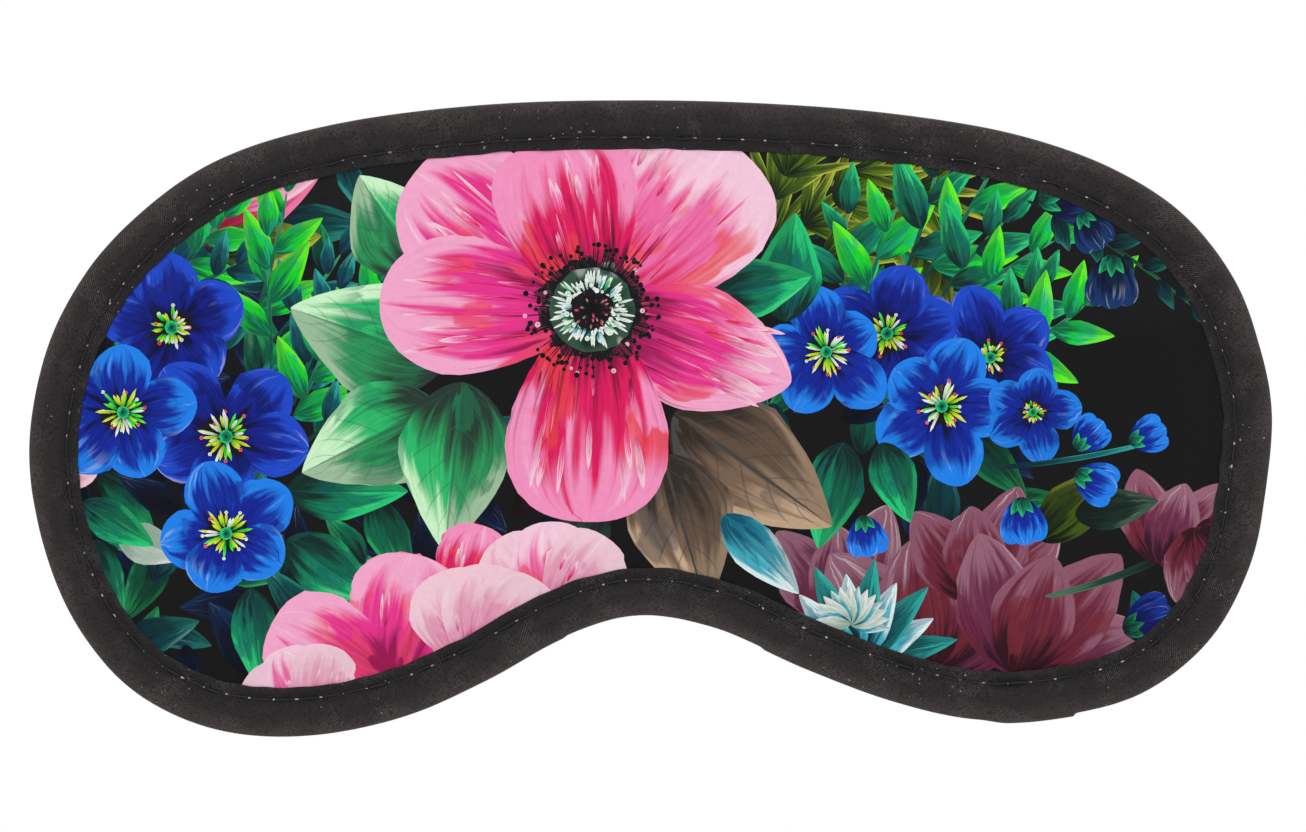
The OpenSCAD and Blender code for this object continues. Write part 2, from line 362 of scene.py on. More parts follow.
class Value:
    """Output of a node that can stand in a formula."""

    def __init__(self, nodes, socket):
        self.nodes, self.socket = nodes, socket

    def __add__(self, other):
        return self.nodes.math("ADD", self, other)

    def __sub__(self, other):
        return self.nodes.math("SUBTRACT", self, other)

    def __mul__(self, other):
        return self.nodes.math("MULTIPLY", self, other)

    def __abs__(self):
        return self.nodes.math("ABSOLUTE", self)


class Nodes:
    """Short way to write a material's nodes."""

    def __init__(self, name):
        self.material = bpy.data.materials.new(name)
        self.material.use_nodes = True
        self.tree = self.material.node_tree
        self.shader = self.tree.nodes["Principled BSDF"]

    def put(self, socket, value):
        """Links a value to a socket, or sets the socket to a number or a linear colour."""
        if isinstance(value, Value):
            self.tree.links.new(value.socket, socket)
        elif hasattr(value, "__len__") and socket.type == "RGBA":
            socket.default_value = (*value[:3], 1.0)
        else:
            socket.default_value = value

    def add(self, kind, output=0, inputs=None, **settings):
        """New node with its settings and inputs: the output that is asked for."""
        node = self.tree.nodes.new(kind)
        for key, value in settings.items():
            setattr(node, key, value)
        for key, value in (inputs or {}).items():
            self.put(node.inputs[key], value)
        return Value(self, node.outputs[output])

    def math(self, operation, a, b=0.0):
        return self.add("ShaderNodeMath", operation=operation, inputs={0: a, 1: b})

    def ramp(self, value, low, high, to_low=0.0, to_high=1.0):
        """Smooth step between two values, which also runs down if low is above high."""
        inputs = {"Value": value, "From Min": low, "From Max": high, "To Min": to_low, "To Max": to_high}
        return self.add("ShaderNodeMapRange", interpolation_type="SMOOTHSTEP", inputs=inputs)

    def mix(self, factor, a, b):
        """Colour between a and b: the node's colours are its inputs 6 and 7 and its output 2."""
        inputs = {0: factor, 6: a, 7: b}
        return self.add("ShaderNodeMix", 2, data_type="RGBA", clamp_factor=True, inputs=inputs)

    def coats(self, colour, *coats):
        """Colour under further coats, each an amount and a colour."""
        for amount, coat in coats:
            colour = self.mix(amount, colour, coat)
        return colour

    def noise(self, vector, scale, detail=2.0, rough=0.5):
        inputs = {"Vector": vector, "Scale": scale, "Detail": detail, "Roughness": rough}
        return self.add("ShaderNodeTexNoise", inputs=inputs)

    def attribute(self, name, output=0):
        return self.add("ShaderNodeAttribute", output, attribute_name=name)

    def place(self):
        """Position in the object's own coordinates, in millimetres."""
        here = self.add("ShaderNodeTexCoord", 3)
        return self.add("ShaderNodeVectorMath", operation="SCALE", inputs={0: here, "Scale": 1 / MM})

    def uv(self):
        return self.add("ShaderNodeTexCoord", 2)

    def parts(self, vector):
        """The three components of a vector."""
        node = self.tree.nodes.new("ShaderNodeSeparateXYZ")
        self.put(node.inputs[0], vector)
        return [Value(self, output) for output in node.outputs]

    def join(self, x, y, z):
        return self.add("ShaderNodeCombineXYZ", inputs={0: x, 1: y, 2: z})

    def lines(self, value, pitch, share=0.5):
        """Height across parallel threads: 1 on each thread's crest and 0 between them."""
        return self.math("SINE", value * (2 * math.pi / pitch)) * share + (1 - share)

    def bump(self, height, distance, strength=1.0):
        """Bump from a height, with the distance in millimetres."""
        inputs = {"Height": height, "Distance": distance * MM, "Strength": strength}
        self.put(self.shader.inputs["Normal"], self.add("ShaderNodeBump", inputs=inputs))

    def finish(self, colour, roughness, specular=0.3, sheen=0.0, sheen_roughness=0.5):
        """Sets the shader's colour and gloss, and returns the material."""
        values = {"Base Color": colour, "Roughness": roughness, "Specular IOR Level": specular,
                  "Sheen Weight": sheen, "Sheen Roughness": sheen_roughness}
        for name, value in values.items():
            self.put(self.shader.inputs[name], value)
        return self.material


def print_material():
    """Painterly print: each motif's colours run from its base to its tip in brush strokes."""
    n = Nodes("printed_fabric")
    base, mid, tip, accent = (n.attribute(k) for k in ("base", "mid", "tip", "accent"))
    u, v, seed = n.parts(n.attribute("petal", 1))
    streaks, ribs, shade = n.parts(n.attribute("style", 1))
    side = abs(u)

    def strokes(across, along, shift, detail=2.0):
        far = seed + shift
        return n.noise(n.join(u * across + far, v * along, far), 1.0, detail)

    broad = strokes(1.8, 1.3, 3.0)
    fine = strokes(5.0, 1.3, 11.0)
    hair = strokes(19.0, 1.6, 23.0, 3.0)
    dabs = (fine - 0.5) * 0.35 + strokes(1.3, 2.2, 41.0)
    # From base to tip, disturbed by the strokes and paler along the rim
    rim = n.ramp(side, 0.55, 1.0) * n.ramp(v, 0.12, 0.5)
    t = rim * 0.34 + ((broad - 0.5) * 0.6 + ((fine - 0.5) * streaks * 1.2 + v))
    rib = n.ramp(side, 0.05, 0.02) * n.ramp(v, 0.97, 0.9)
    vein = n.math("FRACT", v * 6.0 - side * 1.7)
    vein = n.ramp(abs(vein - 0.5), 0.07, 0.02) * n.ramp(side, 0.9, 0.7)
    place = n.place()
    x, _, z = n.parts(place)
    cloth = n.noise(place, 0.9, 3.0)
    colour = n.coats(
        base,
        (n.ramp(t, 0.12, 0.46), mid),
        (n.ramp(t, 0.56, 0.86), tip),
        (n.ramp(dabs, 0.55, 0.59) * n.ramp(v, 0.80, 0.62) * (streaks * 0.85), accent),
        (n.ramp(hair, 0.56, 0.70) * n.ramp(v, 0.25, 0.8) * (streaks * 0.42), tip),
        (n.ramp(fine, 0.60, 0.70) * n.ramp(v, 0.45, 0.9) * (streaks * 0.30), (1.0, 1.0, 1.0)),
        (n.ramp(hair, 0.46, 0.32) * n.ramp(v, 1.0, 0.2) * (streaks * 0.7), base),
        (n.ramp(u, -0.04, 0.06) * shade, base),
        (n.math("MAXIMUM", rib, vein * 0.45) * ribs, n.mix(0.5, base, accent)),
        (cloth * 0.16 - 0.02, (0.0, 0.0, 0.0)),
    )
    n.bump(n.lines(x, 0.38) * n.lines(z, 0.38) + cloth * 0.5, 0.03, 0.5)
    return n.finish(colour, cloth * 0.2 + 0.5, 0.12, 0.02)


def tape_material():
    """Black twill tape with lint, a painted highlight on its lighter, browner outer roll and painted shade in
    its stitch groove.
    """
    n = Nodes("binding_tape")
    s, d, _ = n.parts(n.uv())
    place = n.place()
    depth = abs(d)
    fuzz = n.noise(place, 2.2, 4.0, 0.7)
    twill = n.lines(s + d, 0.52)
    cross = n.lines(s - d, 1.45)
    # Painted highlight with some wear: the outer roll, within about 3.6 mm of the fold, is lighter and
    # browner where light grazes it
    edge = n.ramp((n.noise(place, 0.12, 3.0) - 0.5) * 4.0 + depth, 3.6, 0.3)
    # Painted shade: the tape is darker along the furrow of the stitch line
    groove_shade = n.ramp(abs(depth - (STITCH_INSET + 0.3)), 2.2, 0.2)
    # Patches where the twill shows paler: random wear, raised a little by the painted highlight on the roll
    wear_and_highlight = n.ramp(edge * 0.12 + n.noise(place, 0.16, 3.0), 0.48, 0.68)
    thread = n.ramp(twill, 0.66, 1.0) * n.ramp(fuzz, 0.36, 0.58)
    speck = n.ramp(n.noise(place, 1.7, 1.0), 0.735, 0.76) * n.ramp(n.noise(place, 0.07, 1.0), 0.5, 0.6)
    colour = n.coats(
        linear((41, 38, 39)),
        # painted highlight on the outer roll
        (edge, linear((60, 54, 53))),
        (groove_shade * 0.6, linear((22, 20, 22))),
        (thread * (wear_and_highlight * 0.6 + 0.12), linear((104, 99, 97))),
        (n.ramp(fuzz, 0.52, 0.34) * 0.5, linear((20, 18, 20))),
        (speck * 0.7, linear((170, 168, 165))),
    )
    n.bump(twill * 0.5 + (cross * 0.25 + fuzz), 0.10, 0.8)
    return n.finish(colour, 0.85, 0.10, 0.06, 0.6)


def thread_material():
    """Twisted polyester thread."""
    n = Nodes("thread")
    s, d, _ = n.parts(n.uv())
    twist = n.lines(d + s, 0.32)
    n.bump(twist, 0.05, 0.8)
    return n.finish(n.mix(twist, linear((8, 8, 9)), linear((38, 36, 38))), 0.5, 0.35, 0.05)


def bobbin_material():
    """Grey lint and bobbin thread that show at the needle holes."""
    n = Nodes("needle_holes")
    place = n.place()
    tone = n.ramp(n.noise(place, 0.23, 2.0), 0.36, 0.60)
    n.bump(n.noise(place, 6.0, 2.0), 0.05)
    return n.finish(n.mix(tone, linear((64, 62, 64)), linear((190, 184, 178))), 0.8, 0.1)


def webbing_material():
    """Knitted elastic: cords along the strap and fine weft across them."""
    n = Nodes("elastic")
    s, z, _ = n.parts(n.uv())
    weft = n.lines(n.math("SINE", z * (2 * math.pi / RIB_PITCH)) * 0.16 + s, 0.7)
    fuzz = n.noise(n.join(s, z, 0.0), 1.6, 4.0, 0.6)
    height = n.lines(z, RIB_PITCH) * 0.9 + weft * 0.6
    colour = n.coats(
        linear((12, 12, 13)),
        (n.ramp(height, 0.2, 1.4), linear((44, 43, 46))),
        (n.ramp(fuzz, 0.55, 0.75) * 0.5, linear((74, 72, 76))),
    )
    n.bump(fuzz * 0.4 + height, 0.16, 0.9)
    return n.finish(colour, 0.75, 0.2, 0.15, 0.5)


def lining_material():
    """Black brushed knit against the face."""
    n = Nodes("lining_fabric")
    place = n.place()
    x, _, z = n.parts(place)
    nap = n.noise(n.join(x, 0.0, z * 0.45), 2.6, 5.0, 0.65)
    rubbed = n.ramp(n.noise(place, 0.05, 4.0, 0.6), 0.4, 0.7)
    colour = n.coats(
        linear((14, 14, 16)),
        (n.ramp(nap, 0.3, 0.7), linear((42, 41, 45))),
        (rubbed * 0.15, linear((50, 49, 53))),
    )
    n.bump(nap, 0.22, 0.8)
    return n.finish(colour, 0.9, 0.1, 0.35, 0.4)


def blackout_material():
    """Dense black cloth that stops the light."""
    n = Nodes("blackout_fabric")
    fibres = n.noise(n.place(), 1.4, 5.0, 0.7)
    n.bump(fibres, 0.08)
    return n.finish(n.mix(fibres, linear((16, 16, 18)), linear((40, 40, 44))), 0.9, 0.1)


def foam_material():
    """Pale open-cell foam."""
    n = Nodes("foam")
    inputs = {"Vector": n.place(), "Scale": 1.4}
    cells = n.add("ShaderNodeTexVoronoi", feature="DISTANCE_TO_EDGE", inputs=inputs)
    n.bump(n.ramp(cells, 0.0, 0.25), 0.3)
    colour = n.mix(n.ramp(cells, 0.0, 0.2), linear((190, 184, 160)), linear((238, 233, 214)))
    return n.finish(colour, 0.95, 0.1)


def metal_material():
    """Satin nylon coat on wire, rubbed a little lighter."""
    n = Nodes("coated_metal")
    place = n.place()
    rub = n.noise(place, 0.5, 4.0, 0.6)
    n.bump(n.noise(place, 5.0, 2.0), 0.03, 0.5)
    colour = n.mix(n.ramp(rub, 0.5, 0.75), linear((17, 17, 19)), linear((48, 47, 50)))
    return n.finish(colour, n.ramp(rub, 0.3, 0.8, 0.28, 0.5), 0.5)


# ---- Print -------------------------------------------------------------------------------------------

# Colours at a motif's base, middle and tip, and of its odd strokes: 0 to 255 sRGB
PALETTES = {
    "pink": ((160, 22, 84), (238, 52, 144), (250, 172, 208), (242, 70, 110)),
    "pale_pink": ((222, 30, 84), (244, 110, 172), (252, 206, 226), (240, 84, 96)),
    "hot_pink": ((112, 12, 52), (226, 24, 96), (250, 150, 196), (238, 60, 74)),
    "coral": ((190, 20, 70), (240, 62, 84), (248, 120, 140), (245, 90, 70)),
    "rose": ((96, 14, 48), (214, 44, 108), (240, 120, 168), (168, 20, 56)),
    "blush": ((214, 84, 140), (238, 166, 192), (248, 206, 220), (230, 140, 176)),
    "mint": ((38, 58, 50), (44, 190, 110), (208, 250, 204), (22, 140, 92)),
    "emerald": ((10, 44, 40), (10, 128, 92), (36, 204, 120), (6, 96, 96)),
    "lime": ((4, 100, 62), (20, 216, 44), (104, 250, 24), (14, 180, 136)),
    "teal": ((6, 40, 52), (8, 96, 98), (44, 170, 160), (4, 78, 106)),
    "ice": ((10, 84, 108), (70, 180, 196), (228, 248, 248), (30, 140, 170)),
    "blue": ((6, 8, 62), (14, 42, 160), (30, 132, 240), (10, 30, 146)),
    "cobalt": ((6, 8, 58), (16, 34, 146), (30, 78, 214), (8, 18, 104)),
    "navy": ((4, 6, 26), (9, 22, 62), (18, 56, 110), (6, 34, 60)),
    "brown": ((50, 42, 36), (122, 98, 80), (196, 164, 134), (84, 84, 82)),
    "olive": ((18, 30, 12), (92, 122, 24), (190, 196, 60), (34, 72, 20)),
    "mauve": ((52, 14, 38), (112, 46, 76), (156, 104, 124), (112, 34, 62)),
    "wine": ((50, 12, 26), (112, 36, 58), (148, 90, 112), (124, 40, 54)),
    "slate": ((22, 34, 34), (44, 68, 62), (84, 112, 100), (34, 52, 48)),
    "stem": ((14, 60, 52), (24, 104, 80), (60, 150, 100), (14, 80, 66)),
    "ink": ((10, 10, 12), (14, 13, 16), (24, 20, 26), (12, 12, 14)),
    "maroon": ((30, 8, 18), (58, 14, 32), (110, 30, 62), (40, 10, 22)),
    "snow": ((160, 190, 170), (214, 232, 216), (250, 252, 248), (190, 214, 200)),
    "moss": ((14, 30, 26), (28, 60, 50), (70, 110, 88), (18, 40, 34)),
    "yellow": ((96, 160, 20), (182, 222, 26), (236, 240, 90), (210, 200, 20)),
    "red": ((150, 20, 20), (222, 46, 30), (246, 110, 80), (200, 30, 24)),
}
GROUND = ((15, 15, 17), (15, 15, 17), (19, 19, 21), (14, 14, 16))


def ahead(x, z, angle, distance):
    """Point at a distance from [x, z] in the direction of an angle in degrees."""
    a = math.radians(angle)
    return x + distance * math.cos(a), z + distance * math.sin(a)


class Print:
    """Motifs in the order that they are painted: each is an outline, a local frame and its colours."""

    def __init__(self, seed):
        self.rng = np.random.default_rng(seed)
        self.motifs = []

    def keep(self, outline, frame_of, palette, dim, style):
        """Adds a motif; frame_of gives its own coordinates (across, along) at any points."""
        self.motifs.append({
            "outline": outline, "frame": frame_of, "colours": linear(PALETTES[palette]) * dim,
            "style": style, "seed": float(self.rng.uniform(0, 90)),
        })

    def paint(self, palette, x, z, angle, length, width, peak=0.5, tip=1.6, root=1.4, bend=0.0,
              streaks=0.6, ribs=0.0, shade=0.0, dim=1.0, ruffle=0.0, sides=11):
        """Petal, leaf or stroke: rooted at [x, z], widest at the peak, and blunter with a larger tip."""
        v = (1 - np.cos(np.linspace(0, math.pi, sides))) / 2
        before = np.clip((peak - v) / peak, 0, 1)
        after = np.clip((v - peak) / (1 - peak), 0, 1)
        half = (1 - before**root) ** (1 / root) * (1 - after**tip) ** (1 / tip)
        wobble = 1 + ruffle * self.rng.normal(size=(2, sides))
        left = np.stack([v, half * wobble[0]], -1)
        right = np.stack([v, -half * wobble[1]], -1)[::-1][1:-1]
        v_loop, u_loop = np.vstack([left, right]).T
        a = math.radians(angle)
        axis, across = np.array([math.cos(a), math.sin(a)]), np.array([-math.sin(a), math.cos(a)])
        root_at = np.array([x, z], float)
        sideways = u_loop * width / 2 + bend * length * v_loop**2
        outline = root_at + np.outer(v_loop * length, axis) + np.outer(sideways, across)

        def frame_of(points):
            r = points - root_at
            v_in = np.clip(r @ axis / length, 0, 1)
            w = np.interp(v_in, v, np.maximum(half, 0.08)) * width / 2
            return np.stack([np.clip((r @ across - bend * length * v_in**2) / w, -1, 1), v_in], -1)

        self.keep(outline, frame_of, palette, dim, (streaks, ribs, shade))

    def disc(self, palette, x, z, r, dim=1.0, streaks=0.3, sides=16, ruffle=0.0):
        """Round spot that runs from its palette's base at the middle to its tip at the rim."""
        a = np.arange(sides) * 2 * math.pi / sides
        rim = r * (1 + ruffle * self.rng.normal(size=sides))
        centre = np.array([x, z], float)

        def frame_of(points):
            q = points - centre
            turn = np.arctan2(q[:, 1], q[:, 0]) / math.pi
            return np.stack([turn, np.clip(np.linalg.norm(q, axis=1) / r, 0, 1)], -1)

        outline = centre + np.stack([rim * np.cos(a), rim * np.sin(a)], -1)
        self.keep(outline, frame_of, palette, dim, (streaks, 0, 0))

    def leaf(self, palette, x, z, angle, length, width, **more):
        """Pointed leaf with ribs and one half in shade."""
        settings = {"peak": 0.42, "tip": 1.25, "root": 1.7, "ribs": 0.7, "shade": 0.45, "streaks": 0.7,
                    "ruffle": 0.015, "sides": 9 + int(length / 3)}
        self.paint(palette, x, z, angle, length, width, **{**settings, **more})

    def leaves(self, palette, rows, **more):
        """Leaves of one palette, each row a place, an angle, a length and a width."""
        for row in rows:
            self.leaf(palette, *row, **more)

    def stem(self, palette, x, z, angle, length, width=0.7, bend=0.0, **more):
        """Thin stalk of even width."""
        self.paint(palette, x, z, angle, length, width, peak=0.3, tip=3, root=4, bend=bend, streaks=0.3,
                   **more)

    def spray(self, palette, x, z, angle, length, pairs, leaf_l, leaf_w, bend=0.0, dim=1.0):
        """Stem with pairs of leaves and one at its end."""
        self.stem("stem", x, z, angle, length, bend=bend, dim=dim)
        a = math.radians(angle)
        for k in range(pairs * 2 + 1):
            v = 0.16 + 0.84 * k / (pairs * 2)
            px = x + length * (v * math.cos(a) - bend * v * v * math.sin(a))
            pz = z + length * (v * math.sin(a) + bend * v * v * math.cos(a))
            lean = 0 if k == pairs * 2 else (48 - 18 * v) * (1 if k % 2 else -1)
            turn = math.degrees(2 * bend * v) + self.rng.normal() * 6
            size = (1.05 - 0.35 * v) * (1 + 0.12 * self.rng.normal())
            self.leaf(palette, px, pz, angle + lean + turn, leaf_l * size, leaf_w * size, dim=dim)

    def blue_flower(self, x, z, r, turn, palette="blue", dim=1.0, heart=1.0):
        """Five broad petals round a dark throat and a brush of pale, red-tipped stamens."""
        for k in (0, 2, 4, 1, 3):
            angle = turn + 72 * k + self.rng.normal() * 5
            length = r * (1 + 0.08 * self.rng.normal())
            self.paint(palette, x, z, angle, length, r * 0.84, peak=0.58, tip=1.8, root=1.45, streaks=0.8,
                       ribs=0.15, dim=dim, ruffle=0.02, sides=16)
        self.disc("ink", x, z, r * 0.24, dim=dim, ruffle=0.2, sides=14)
        for k in range(32):
            lean = 11.25 * k + self.rng.normal() * 9
            start, reach = r * self.rng.uniform(0.05, 0.12), r * self.rng.uniform(0.14, 0.30) * heart
            tone = self.rng.choice(["yellow", "snow", "lime"], p=[0.5, 0.25, 0.25])
            self.paint(tone, *ahead(x, z, lean, start), lean, reach, r * 0.045, dim=dim, streaks=0.2, sides=4)
            if k % 4 == 0:
                tone = self.rng.choice(["red", "coral", "snow"])
                self.disc(tone, *ahead(x, z, lean, start + reach), r * 0.026, dim=dim, sides=6)
        self.disc("emerald", x, z, r * 0.09, dim=dim, sides=8)

    def bud(self, x, z, angle, size, palette="blue", dim=1.0):
        """Closed flower in a small green cup."""
        for lean, width in ((-20, 0.55), (20, 0.55), (0, 0.66)):
            self.paint(palette, x, z, angle + lean, size, size * width, peak=0.6, tip=2.0, root=1.7,
                       streaks=0.8, dim=dim)
        for lean in (-34, 34, 0):
            self.leaf("emerald", x, z, angle + lean, size * 0.42, size * 0.2, dim=dim, sides=6)

    def tulip(self, palettes, x, z, angle, size, dim=1.0):
        """Open cup of overlapping pointed petals, two of each palette."""
        for k, (lean, share) in enumerate(((-44, 0.92), (42, 0.95), (-14, 1.05), (10, 0.82))):
            self.paint(palettes[k // 2], x, z, angle + lean, size * share, size * 0.56, peak=0.5, tip=1.45,
                       root=1.7, dim=dim, streaks=0.9, ribs=0.2, ruffle=0.02, sides=18)

    def bloom(self, palettes, x, z, angle, size, spread, petals):
        """Rounded half-open flower seen from the side."""
        for k in range(petals):
            lean = spread * (k - (petals - 1) / 2) * (1 if k % 2 else -1)
            self.paint(palettes[k % len(palettes)], x, z, angle + lean, size, size * 0.82, peak=0.64, tip=2.3,
                       root=1.7, streaks=0.75, ruffle=0.03, sides=20)
            self.brush((x, z, angle + lean, size, size * 0.82), ["blush", palettes[-1]], 4, 0.35, 0.5, 0.8)

    def brush(self, petal, palettes, count, low, high, width):
        """Strokes that follow a petal's own lines: petal is the place, angle and size it was painted with."""
        x, z, angle, length, petal_w = petal
        a = math.radians(angle)
        for _ in range(count):
            start = self.rng.uniform(low, high)
            reach = min(self.rng.uniform(0.14, 0.34), 0.90 - start) * length
            off = self.rng.uniform(-0.3, 0.3) * petal_w
            px = x + length * start * math.cos(a) - off * math.sin(a)
            pz = z + length * start * math.sin(a) + off * math.cos(a)
            tilt = math.degrees(math.atan2(off * 0.4, length * 0.5))
            tone = self.rng.choice(palettes)
            stroke_w = width * self.rng.uniform(0.5, 1.3)
            self.paint(tone, px, pz, angle + tilt, reach, stroke_w, streaks=0.9, sides=6)

    def thicket(self, low, high, count, palettes, size, dim):
        """Overlapping dark leaves scattered over a rectangle."""
        for _ in range(count):
            x, z = self.rng.uniform(low, high)
            length = size * self.rng.uniform(0.7, 1.4)
            self.leaf(self.rng.choice(palettes), x, z, self.rng.uniform(0, 360), length, length * 0.45,
                      dim=dim * self.rng.uniform(0.6, 1.2), bend=self.rng.uniform(-0.15, 0.15))


def anemone(p, x, z):
    """Large open flower: broad petals round a dark eye with a pale ring and a wreath of stamens."""
    petals = [("pink", 142, 37, 25, 0.66, 2.3), ("pale_pink", 52, 36, 32, 0.66, 2.7),
              ("pink", 178, 35, 23, 0.62, 2.1), ("pink", -20, 35, 21, 0.52, 1.5),
              ("hot_pink", 103, 29, 24, 0.68, 2.6), ("hot_pink", -92, 35, 27, 0.62, 2.4)]
    for palette, angle, length, width, peak, tip in petals:
        petal = (x, z, angle, length, width)
        p.paint(palette, *petal, peak=peak, tip=tip, root=1.5, streaks=1.0, ruffle=0.008, sides=36)
        p.brush(petal, ["pale_pink", "blush"], 7, 0.5, 0.68, 1.2)
        p.brush(petal, ["hot_pink", "rose"], 7, 0.26, 0.32, 0.6)
    p.brush((x, z, -22, 35, 12), ["blush"], 5, 0.60, 0.66, 1.5)
    p.disc("maroon", x, z, 8.8, ruffle=0.07, streaks=0.9, sides=44)
    p.disc("ink", x, z, 8.0, ruffle=0.08, streaks=0.9, sides=44)
    for k in range(150):
        angle = k * 360 / 150 + p.rng.normal() * 3
        reach = p.rng.uniform(7.4, 11.2)
        p.paint("ink", *ahead(x, z, angle, 5.5), angle, reach - 5.5, 0.26, sides=4)
        tone = p.rng.choice(["ink", "maroon", "blush"], p=[0.78, 0.12, 0.10])
        p.disc(tone, *ahead(x, z, angle, reach), p.rng.uniform(0.28, 0.52), sides=7)
    p.disc("moss", x, z, 7.0, ruffle=0.02, streaks=1.0, dim=0.55, sides=40)
    for k in range(90):
        angle = k * 4 + p.rng.normal() * 2
        start = p.rng.uniform(2.9, 4.4)
        tone = p.rng.choice(["snow", "mint", "ice", "moss"], p=[0.6, 0.12, 0.1, 0.18])
        p.paint(tone, *ahead(x, z, angle, start), angle, p.rng.uniform(1.2, 3.4), 0.46, sides=5)
        if k % 2:
            start = p.rng.uniform(3.2, 5.0)
            p.disc("snow", *ahead(x, z, angle, start), p.rng.uniform(0.25, 0.5), sides=7)
    p.disc("ink", x, z, 3.3, ruffle=0.08, sides=20)
    for _ in range(40):
        angle, r = math.degrees(p.rng.uniform(0, 2 * math.pi)), 2.8 * math.sqrt(p.rng.uniform(0, 1))
        tone = p.rng.choice(["maroon", "rose", "ink", "brown"], p=[0.45, 0.1, 0.25, 0.2])
        p.paint(tone, *ahead(x, z, angle, r), angle, 0.9, 0.36, sides=5)


def floral_print():
    """All motifs of the printed front, from the farthest to the nearest."""
    p = Print(seed=7)
    # Dark undergrowth
    p.thicket((-100, -46), (-36, 44), 120, ["navy", "teal", "navy", "emerald"], 12, 0.55)
    p.thicket((-36, -30), (-8, 2), 16, ["navy", "slate", "maroon"], 11, 0.6)
    p.thicket((14, -26), (60, 24), 46, ["teal", "navy", "emerald"], 11, 0.5)
    p.thicket((20, 24), (48, 46), 40, ["olive", "olive", "moss", "emerald"], 10, 0.6)
    p.thicket((28, -44), (94, -30), 14, ["teal", "navy"], 10, 0.4)
    for x, z, angle in ((20, 30, 60), (25, 32, 30), (20, 36, 80), (30, 36, 20), (36, 33, -5), (28, 26, 10),
                        (38, 38, 10), (33, 41, 30), (44, 38, -15), (22, 40, 60)):
        p.leaves("olive", [(x, z, angle + 20 * (k - 2.5), 13, 2.0) for k in range(6)], dim=0.95, sides=6)
    # Petals that the edge cuts off
    p.leaf("rose", -76, 30, 26, 24, 11, ribs=0.2, shade=0.0)
    p.leaf("blush", -70, 35, 24, 20, 7, ribs=0.1, shade=0.0)
    p.leaf("olive", -72, 27, 10, 18, 9, dim=0.8)
    p.paint("blush", -100, -9, 15, 9, 8, tip=2.4)
    p.leaf("snow", -88, -19, -20, 12, 7, shade=0.8, dim=0.7)
    # Sprays of bright leaves
    for x, z, angle, length, bend in ((-88, 20, 66, 12, 0.1), (-78, 24, 50, 12, 0.0), (-66, 14, 70, 24, 0.1),
                                      (-62, 4, 95, 26, -0.05), (-60, -2, 60, 16, 0.1), (-52, 6, 60, 18, 0.1)):
        p.spray("lime", x, z, angle, length, 2, 12, 4.8, bend=bend, dim=0.95)
        p.spray("teal", x + 3, z - 2, angle - 24, length * 0.8, 2, 9, 3.6, bend=bend, dim=0.95)
    for x, z, angle, length, bend in ((34, 14, 78, 22, -0.1), (44, 22, 52, 26, 0.1), (50, 18, 40, 20, -0.1),
                                      (58, 10, 24, 16, 0.15)):
        p.spray("emerald", x - 2, z + 2, angle + 16, length * 0.8, 2, 11, 4.6, bend=bend)
        p.spray("lime", x, z, angle, length, 2, 13, 5.2, bend=bend)
    # Faint spray high on the right
    p.spray("teal", 62, 36, -24, 32, 4, 7, 3.2, bend=-0.15, dim=0.35)
    for row in ((56, 40, 60, 9), (64, 36, 10, 10), (71, 34, -60, 7), (76, 27, -90, 9), (88, 27, -40, 8)):
        p.bud(*row, "navy", dim=0.9)
    # Faded flowers low on the right
    p.tulip(["mauve", "mauve"], 32, -34, 84, 20, dim=0.8)
    p.tulip(["mauve", "wine"], 46, -42, 88, 27, dim=0.85)
    p.tulip(["wine", "wine"], 54, -30, 84, 19, dim=0.9)
    p.tulip(["mauve", "wine"], 60, -42, 62, 25, dim=0.95)
    p.stem("moss", 86, -22, 208, 22, 1.3, bend=-0.15)
    p.tulip(["wine", "mauve"], 84, -24, 62, 17)
    p.tulip(["wine", "wine"], 90, -18, -60, 14, dim=0.9)
    p.leaf("olive", 64, -20, 44, 17, 9, dim=0.5)
    p.leaf("moss", 70, -16, 10, 14, 7, dim=0.7)
    p.bud(78, -35, 20, 9, "cobalt", dim=0.4)
    # Blue flowers
    p.blue_flower(-79, 15, 13, 20, "cobalt", 0.9, 0.6)
    p.blue_flower(-70, -3, 13, 50, "cobalt", 0.9, 0.9)
    p.blue_flower(39, 14, 12, 10, "cobalt", 0.85, 0.8)
    p.blue_flower(56, 10, 11, 40, "cobalt", 0.9, 0.6)
    p.leaves("emerald", [(-60, -12, 0, 20, 10), (-60, -20, -34, 18, 10), (-66, -28, -84, 17, 8),
                         (-56, -9, 28, 12, 6), (-94, -14, -30, 14, 7), (-92, -20, -70, 14, 6)])
    p.blue_flower(-87, 1, 12, 8)
    p.blue_flower(-70, -19, 12, 40)
    p.blue_flower(29, 11, 11, 30)
    p.blue_flower(48, 2, 12, 66)
    p.blue_flower(63, 1, 8, 10, "blue", 0.9, 0.5)
    p.stem("teal", 58, -8, 4, 26, 0.9, bend=0.1)
    for row in ((70, -5, 44, 6.5), (79, -4, 22, 6.5), (70, -9, -24, 7.5), (61, -13, -84, 8),
                (35, -16, -80, 7)):
        p.bud(*row)
